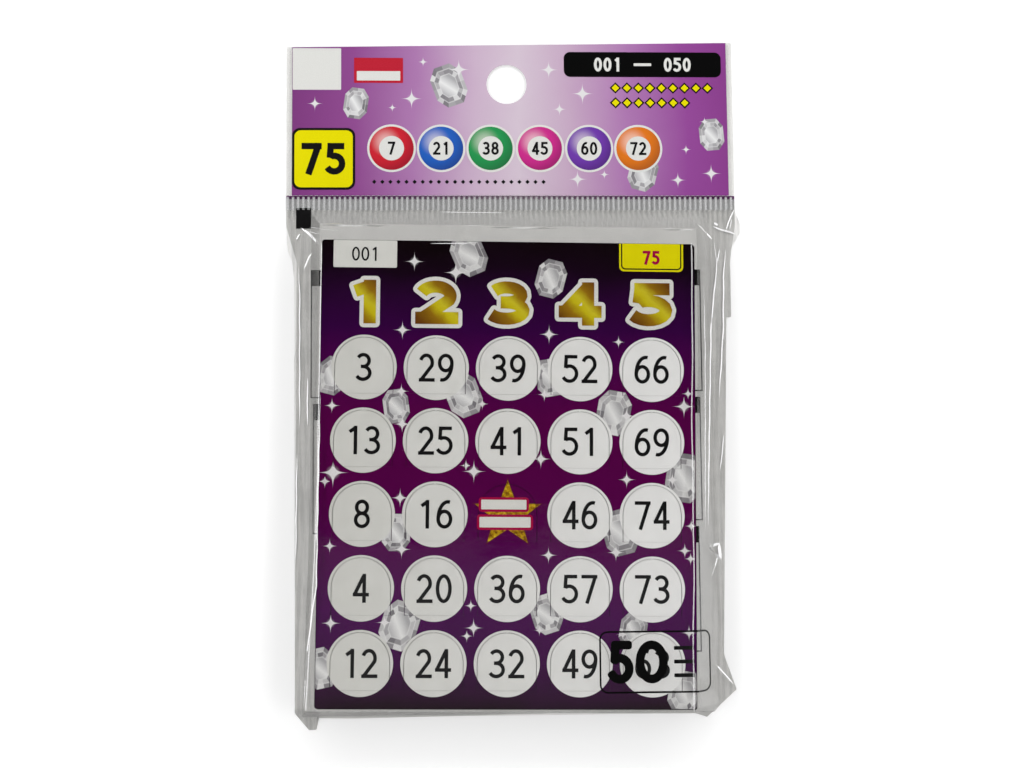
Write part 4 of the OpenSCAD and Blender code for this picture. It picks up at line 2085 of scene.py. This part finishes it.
    def drape(self, name: str, mesh: Mesh, at: Point, ink: Material) -> Object:
        """Lays a flat mesh on the film and lets it follow the film's height.

        Args:
            name: Piece name.
            mesh: Mesh in millimetres round its own middle.
            at: Place in the frame.
            ink: Finish.

        Returns:
            The settled piece.
        """
        points = np.empty(len(mesh.vertices) * 3)
        mesh.vertices.foreach_get("co", points)
        points = points.reshape(-1, 3) + np.array([at[0], at[1], self.ink_gap])
        points[:, 2] += self.height(points[:, 0], points[:, 1])
        mesh.vertices.foreach_set("co", (points * MM).ravel())
        mesh.update()
        return settle(mesh_object(name, mesh, ink), Body.POUCH.value)


@dataclass(frozen=True)
class Fold:
    """Narrow pressed fold along a line of points.

    Attributes:
        points: Places in millimetres.
        lean: Tilt of its face in degrees, to the right, or upwards where the fold runs sideways.
        level: Height above the table, where the fold stands off the film.
        width: Width of its face in millimetres.
    """

    points: tuple
    lean: float
    level: float | None = None
    width: float = 0.33


@dataclass
class FilmFolds:
    """Pressed folds in the film's margins, one thin closed strip for each."""

    film: FrontFilm
    finishes: Finishes
    wall: float = 0.03
    lift: float = 0.1
    step: float = 1.2
    folds: tuple = (
        Fold(((50.4, 33.5), (51.0, 28.7), (50.4, 23.0), (49.0, 11.6), (47.6, -18.3), (46.8, -36.5)), 20.0),
        Fold(((51.7, 32.0), (51.0, 28.4)), 20.0, width=0.25),
        Fold(((53.2, 31.8), (52.6, 25.5), (52.2, 11.7), (51.4, 1.7), (50.8, -5.0)), 20.0),
        Fold(((46.9, 22.0), (46.9, 6.0), (46.5, -12.0), (45.8, -38.0)), 17.5, width=0.2),
        Fold(((51.8, -14.4), (50.7, -23.0)), 20.0, width=0.25),
        Fold(((47.3, -41.8), (50.0, -40.9)), -29.0, 1.6, 0.7),
        Fold(((48.6, -43.2), (47.3, -41.8)), 29.0, 1.2, 0.6),
        Fold(((50.0, -40.9), (50.4, -45.0)), 20.0, width=0.8),
        Fold(((50.4, -45.0), (48.6, -43.2)), 29.0, 1.1, 0.6),
        Fold(((49.6, -43.6), (47.9, -49.1)), 20.0, 1.1, 0.3),
        Fold(((48.4, -70.0), (52.7, -74.9)), 23.0, 0.8),
        Fold(((-18.3, 41.3), (-1.7, 41.0)), 20.0, width=0.2),
        Fold(((50.2, 37.7), (52.0, 36.9), (55.0, 36.1), (55.7, 35.7)), 21.0, width=0.5),
        Fold(((50.4, 38.6), (51.4, 38.0)), 21.0, width=0.7),
        Fold(((53.5, 36.8), (54.3, 39.4), (55.6, 42.0)), 20.5, width=0.4),
        Fold(((54.4, 36.9), (54.9, 39.6)), 20.5, width=0.2),
        Fold(((45.9, 38.1), (49.7, 34.1)), 21.5, 2.0),
        Fold(((-52.0, 37.4), (-50.3, 35.9)), -29.0),
        Fold(((-50.6, 35.9), (-46.9, 32.0)), -26.0, 5.3, 0.6),
        Fold(((-49.4, 36.4), (-42.0, 35.4)), 21.0, 6.0, 0.16),
        Fold(((-49.8, 35.4), (-46.4, 34.6)), 21.0, 5.6, 0.16),
        Fold(((-53.2, 34.4), (-52.3, 35.9)), -23.0),
        Fold(((-51.3, 26.9), (-50.0, 29.9), (-49.2, 31.0)), -22.5, 0.9),
        Fold(((-52.6, 27.4), (-52.3, 21.9), (-52.2, -11.4)), -22.0, width=0.28),
        Fold(((-52.8, -18.7), (-53.0, -44.1)), -22.0, width=0.25),
        Fold(((-50.3, 0.2), (-50.3, -11.4)), -22.0, width=0.28),
        Fold(((-20.2, 31.5), (-10.6, 31.5)), 21.0, width=0.2),
        Fold(
            (
                (-46.5, -5.1),
                (-46.8, -20.6),
                (-47.1, -37.1),
                (-47.3, -50.2),
                (-48.3, -57.0),
                (-49.0, -62.6),
                (-49.8, -68.6),
                (-50.1, -73.0),
                (-50.5, -79.5),
            ),
            -22.0,
            width=0.3,
        ),
    )

    def build(self) -> None:
        """Builds all folds as one piece on the pouch."""
        points, faces, count = [], [], 0
        for fold in self.folds:
            strip, quads = thin_shell(self._strip(fold), self.wall)
            points.append(strip)
            faces.append(quads + count)
            count += len(strip)
        mesh = array_mesh("film_folds", np.concatenate(points) * MM, np.concatenate(faces))
        settle(mesh_object("film_folds", mesh, self.finishes.fold_film), Body.POUCH.value)

    def _strip(self, fold: Fold) -> np.ndarray:
        """Lays out one fold's face, narrower towards both ends.

        Args:
            fold: The fold.

        Returns:
            Points along the fold by two edges by 3.
        """
        stops = np.array(fold.points, dtype=float)
        run = np.concatenate([[0.0], np.cumsum(np.linalg.norm(np.diff(stops, axis=0), axis=1))])
        along = np.linspace(0.0, run[-1], max(4, math.ceil(run[-1] / self.step)) + 1)
        x = np.interp(along, run, stops[:, 0]) + 0.05 * np.sin(along * 0.7 + stops[0, 1])
        y = np.interp(along, run, stops[:, 1])
        heading = np.stack([np.gradient(x, along), np.gradient(y, along)], axis=1)
        heading /= np.linalg.norm(heading, axis=1)[:, None]
        side = np.stack([-heading[:, 1], heading[:, 0]], axis=1)
        sideways = np.abs(side[:, 0]) < 0.2
        side *= np.where(sideways, np.sign(side[:, 1]), np.sign(side[:, 0]))[:, None]
        height = np.full_like(x, fold.level) if fold.level else self.film.height(x, y) + self.lift
        taper = np.clip(0.15 + 5 * np.minimum(along, run[-1] - along) / run[-1], 0, 1)
        lean = math.radians(fold.lean)
        across = np.column_stack([side * math.cos(lean), np.full(len(x), -math.sin(lean))])
        across *= (taper * fold.width / 2)[:, None]
        middle = np.column_stack([x, y, height])
        return np.stack([middle - across, middle + across], axis=1)


@dataclass
class FilmPrint:
    """Marks printed on the pouch film, front and back."""

    finishes: Finishes
    film: FrontFilm
    rows: RowTree
    count_box: tuple = (19.3, -76.1, 46.8, -61.5)
    count_line: float = 0.42
    count_corner: float = 2.0
    count_h: float = 8.7
    count_grow: float = 0.68
    sheet_x: float = 39.4
    sheet_pitch: float = 3.2
    eye_at: Point = (-51.4, 39.8)
    eye_w: float = 3.7
    eye_h: float = 5.2
    ink_step: float = 0.4
    back_columns: tuple = ((-49.6, -1.2, 33.1), (0.6, 46.8, 31.8))
    back_taper: tuple = (0.0, 0.6, 1.5)
    back_top: float = 26.9
    back_bar: float = 4.0
    back_gap: float = 1.4
    back_line: float = 0.3
    back_t: float = 0.05
    bar_z: float = -0.028
    rule_z: float = -0.018
    rule_count: int = 9
    rule_pitch: float = 2.6
    rule_w: float = 0.5
    rule_drop: float = 3.0
    rule_inset: float = 5.0

    def build(self) -> None:
        """Builds the back film, the count box, the eye mark and the back panel."""
        self._back_sheet()
        self._count()
        self._eye_mark()
        self._back_panel()

    def _count(self) -> None:
        """Prints the number of cards in a thin round-cornered box with a small pile of sheets."""
        x0, y0, x1, y1 = self.count_box
        middle = ((x0 + x1) / 2, (y0 + y1) / 2)
        wide, high = (x1 - x0) / 2, (y1 - y0) / 2
        line, ink = self.count_line, self.finishes.film_black
        corner, step = self.count_corner, self.ink_step
        outer = rounded(-wide, -high, wide, high, corner)
        inner = rounded(line - wide, line - high, wide - line, high - line, corner - line)
        pieces = [self.film.drape("count_box", ring_mesh(outer, inner, step), middle, ink)]
        for digit, width, x in (("5", 0.52, 24.5), ("0", 0.72, 31.7)):
            figure = Figures(self.count_h, 0.08, width).mesh(digit, self.count_grow)
            pieces.append(self.film.drape(f"count_{digit}", figure, (x, middle[1]), ink))
        for sheet in range(3):
            bar = plate([resample(rounded(-2.4, -0.45, 2.4, 0.45, 0.2), step)])
            at = (self.sheet_x, middle[1] + (sheet - 1) * self.sheet_pitch)
            pieces.append(self.film.drape(f"count_sheet_{sheet + 1}", bar, at, ink))
        for piece in pieces:
            piece.visible_shadow = False

    def _eye_mark(self) -> None:
        """Prints the black mark for the packing machine below the crimp's left end."""
        wide, high = self.eye_w / 2, self.eye_h / 2
        loop = resample(box_loop(-wide, -high, wide, high), 0.3)
        self.film.drape("eye_mark", plate([loop]), self.eye_at, self.finishes.black)

    def _back_sheet(self) -> None:
        """Builds the back film in place of the CAD film, a hair thinner so that it clears the last card."""
        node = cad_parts["back_film"]
        mesh = evaluated_mesh(bpy.data.objects.new("back_film_copy", node.data.copy()))
        mesh.transform(node.matrix_world)
        for point in mesh.vertices:
            point.co.z = min(point.co.z, self.back_t * MM)
        piece = mesh_object("back_film_sheet", mesh, self.finishes.back_film)
        settle(piece, Body.POUCH.value)
        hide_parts("back_film")

    def _lay_back(self, name: str, mesh: Mesh, low: float, ink: Material) -> None:
        """Puts a flat mesh on the back film's outer face, at a height in millimetres."""
        mesh.transform(Matrix.Scale(MM, 4) @ Matrix.Translation((0, 0, low)))
        settle(mesh_object(name, mesh, ink), Body.POUCH.value)

    def _back_panel(self) -> None:
        """Prints the back: two columns of boxes with black head bars."""
        bars, frames = [], []
        outer_left, outer_right = self.back_columns[0][0], self.back_columns[1][1]
        line, ink = self.back_line, self.finishes.black
        for left, right, pitch in self.back_columns:
            for row, taper in enumerate(self.back_taper):
                x0, x1 = max(left, outer_left + taper), min(right, outer_right - taper)
                top = self.back_top - row * pitch
                low, head = top - pitch + self.back_gap, top - self.back_bar
                bars.append(box_loop(x0, head, x1, top))
                frames.append(box_loop(x0, low, x1, top))
                frames.append(box_loop(x0 + line, low + line, x1 - line, top - line))
                width = x1 - x0 - self.rule_inset
                self._back_lines(f"back_lines_{len(bars)}", (x0 + x1) / 2, head, width)
        self._lay_back("back_bars", plate(bars), self.bar_z, ink)
        self._lay_back("back_frames", plate(frames), self.bar_z, ink)

    def _back_lines(self, name: str, x: float, top: float, width: float) -> None:
        """Prints plain ruled lines in one box of the back.

        Args:
            name: Piece name.
            x: Middle of the box.
            top: Upper side of the ruled field.
            width: Length of a line.
        """
        reach = (width / math.sqrt(2), self.rule_w / math.sqrt(2))
        row = Row(self.rule_count, 4, (x, top - self.rule_drop), (0.0, -self.rule_pitch), reach)
        ink = self.finishes.black
        self._lay_back(name, self.rows.mesh(row, ink), self.rule_z, ink)


@dataclass(frozen=True)
class Lamp:
    """Rectangular lamp that faces the pack.

    Attributes:
        name: Lamp name.
        place: Place in metres.
        size: Width and length in metres.
        power: Power in watts.
        mirrored: Whether glossy faces show it.
    """

    name: str
    place: tuple
    size: Point
    power: float
    mirrored: bool

    def hang(self) -> None:
        """Hangs the lamp in the studio."""
        data = bpy.data.lights.new(self.name, "AREA")
        data.shape = "RECTANGLE"
        data.size, data.size_y = self.size
        data.energy = self.power
        lamp = bpy.data.objects.new(self.name, data)
        lamp.location = self.place
        lamp.rotation_euler = Vector(self.place).to_track_quat("Z", "Y").to_euler()
        lamp.visible_camera = False
        lamp.visible_glossy = self.mirrored
        bpy.context.collection.objects.link(lamp)


@dataclass
class Studio:
    """Camera at the photo's viewing angle, a pale floor, softboxes and a dim ceiling."""

    camera_at: tuple = (-18.8, -45.2, 416.6)
    camera_turn: tuple = (6.0, -2.49, -0.52)
    lens: float = 60.0
    floor_size: float = 30.0
    floor_z: float = -0.05
    lamps: tuple = (
        Lamp("left_softbox", (-0.75, 0.0, 0.62), (1.6, 0.18), 1.35, True),
        Lamp("right_softbox", (0.75, 0.0, 0.62), (1.6, 0.18), 1.35, True),
        Lamp("head_softbox", (0.0, 0.85, 0.62), (1.6, 0.18), 0.85, True),
        Lamp("left_fill", (-0.75, 0.0, 0.63), (1.6, 0.18), 3.95, False),
        Lamp("right_fill", (0.75, 0.0, 0.63), (1.6, 0.18), 3.95, False),
        Lamp("head_fill", (0.0, 0.85, 0.63), (1.6, 0.18), 4.45, False),
        Lamp("foot_fill", (0.0, -1.1, 0.3), (1.8, 0.5), 1.9, False),
        Lamp("ceiling_glow", (0.0, -0.31, 1.3), (0.9, 0.6), 0.24, True),
    )

    def build(self) -> None:
        """Builds the camera, the floor, the world and the lamps."""
        scene = bpy.context.scene
        scene.view_settings.view_transform = "Standard"
        self._camera(scene)
        self._floor()
        self._world(scene)
        for lamp in self.lamps:
            lamp.hang()

    def _camera(self, scene: Scene) -> None:
        """Sets the camera.

        Args:
            scene: Scene that it belongs to.
        """
        data = bpy.data.cameras.new("camera")
        data.lens = self.lens
        data.clip_start = 0.01
        camera = bpy.data.objects.new("camera", data)
        camera.location = Vector(self.camera_at) * MM
        camera.rotation_euler = Euler([math.radians(angle) for angle in self.camera_turn])
        bpy.context.collection.objects.link(camera)
        scene.camera = camera

    def _floor(self) -> None:
        """Lays the floor just under the pack."""
        half = self.floor_size / 2
        mesh = bpy.data.meshes.new("floor")
        corners = [(x, y, self.floor_z * MM) for x, y in box_loop(-half, -half, half, half)]
        mesh.from_pydata(corners, [], [(0, 1, 2, 3)])
        mesh_object("floor", mesh, StageFinish("pale_floor").make())

    def _world(self, scene: Scene) -> None:
        """Lights the studio: white round the horizon and dim overhead.

        Args:
            scene: Scene that gets the world.
        """
        world = bpy.data.worlds.new("studio")
        world.use_nodes = True
        graph = Graph(world.node_tree)
        graph.tree.nodes.clear()
        direction = graph.add("ShaderNodeTexCoord").outputs["Generated"]
        rise = graph.parts(direction)[2]
        tone = graph.ramp(rise, [(0.5, grey(0.6)), (0.66, grey(0.025)), (1.0, grey(0.008))])
        glow = graph.add("ShaderNodeBackground", {"Color": tone, "Strength": 1.0})
        graph.put(graph.add("ShaderNodeOutputWorld").inputs[0], glow.outputs[0])
        scene.world = world


def main() -> None:
    """Builds the studio, the cards, the header and the film."""
    logging.basicConfig(level=logging.INFO, format="%(name)s: %(message)s")
    layout = Layout()
    Studio().build()
    finishes = Finishes(layout)
    rows = RowTree("repeat_row")
    cards = CardStack(layout, finishes)
    cards.dress()
    cards.build()
    header = Header(layout, finishes, rows)
    header.dress()
    header.build()
    film = FrontFilm(layout, finishes)
    film.build()
    FilmFolds(film, finishes).build()
    FilmPrint(finishes, film, rows).build()


if __name__ == "__main__":
    main()
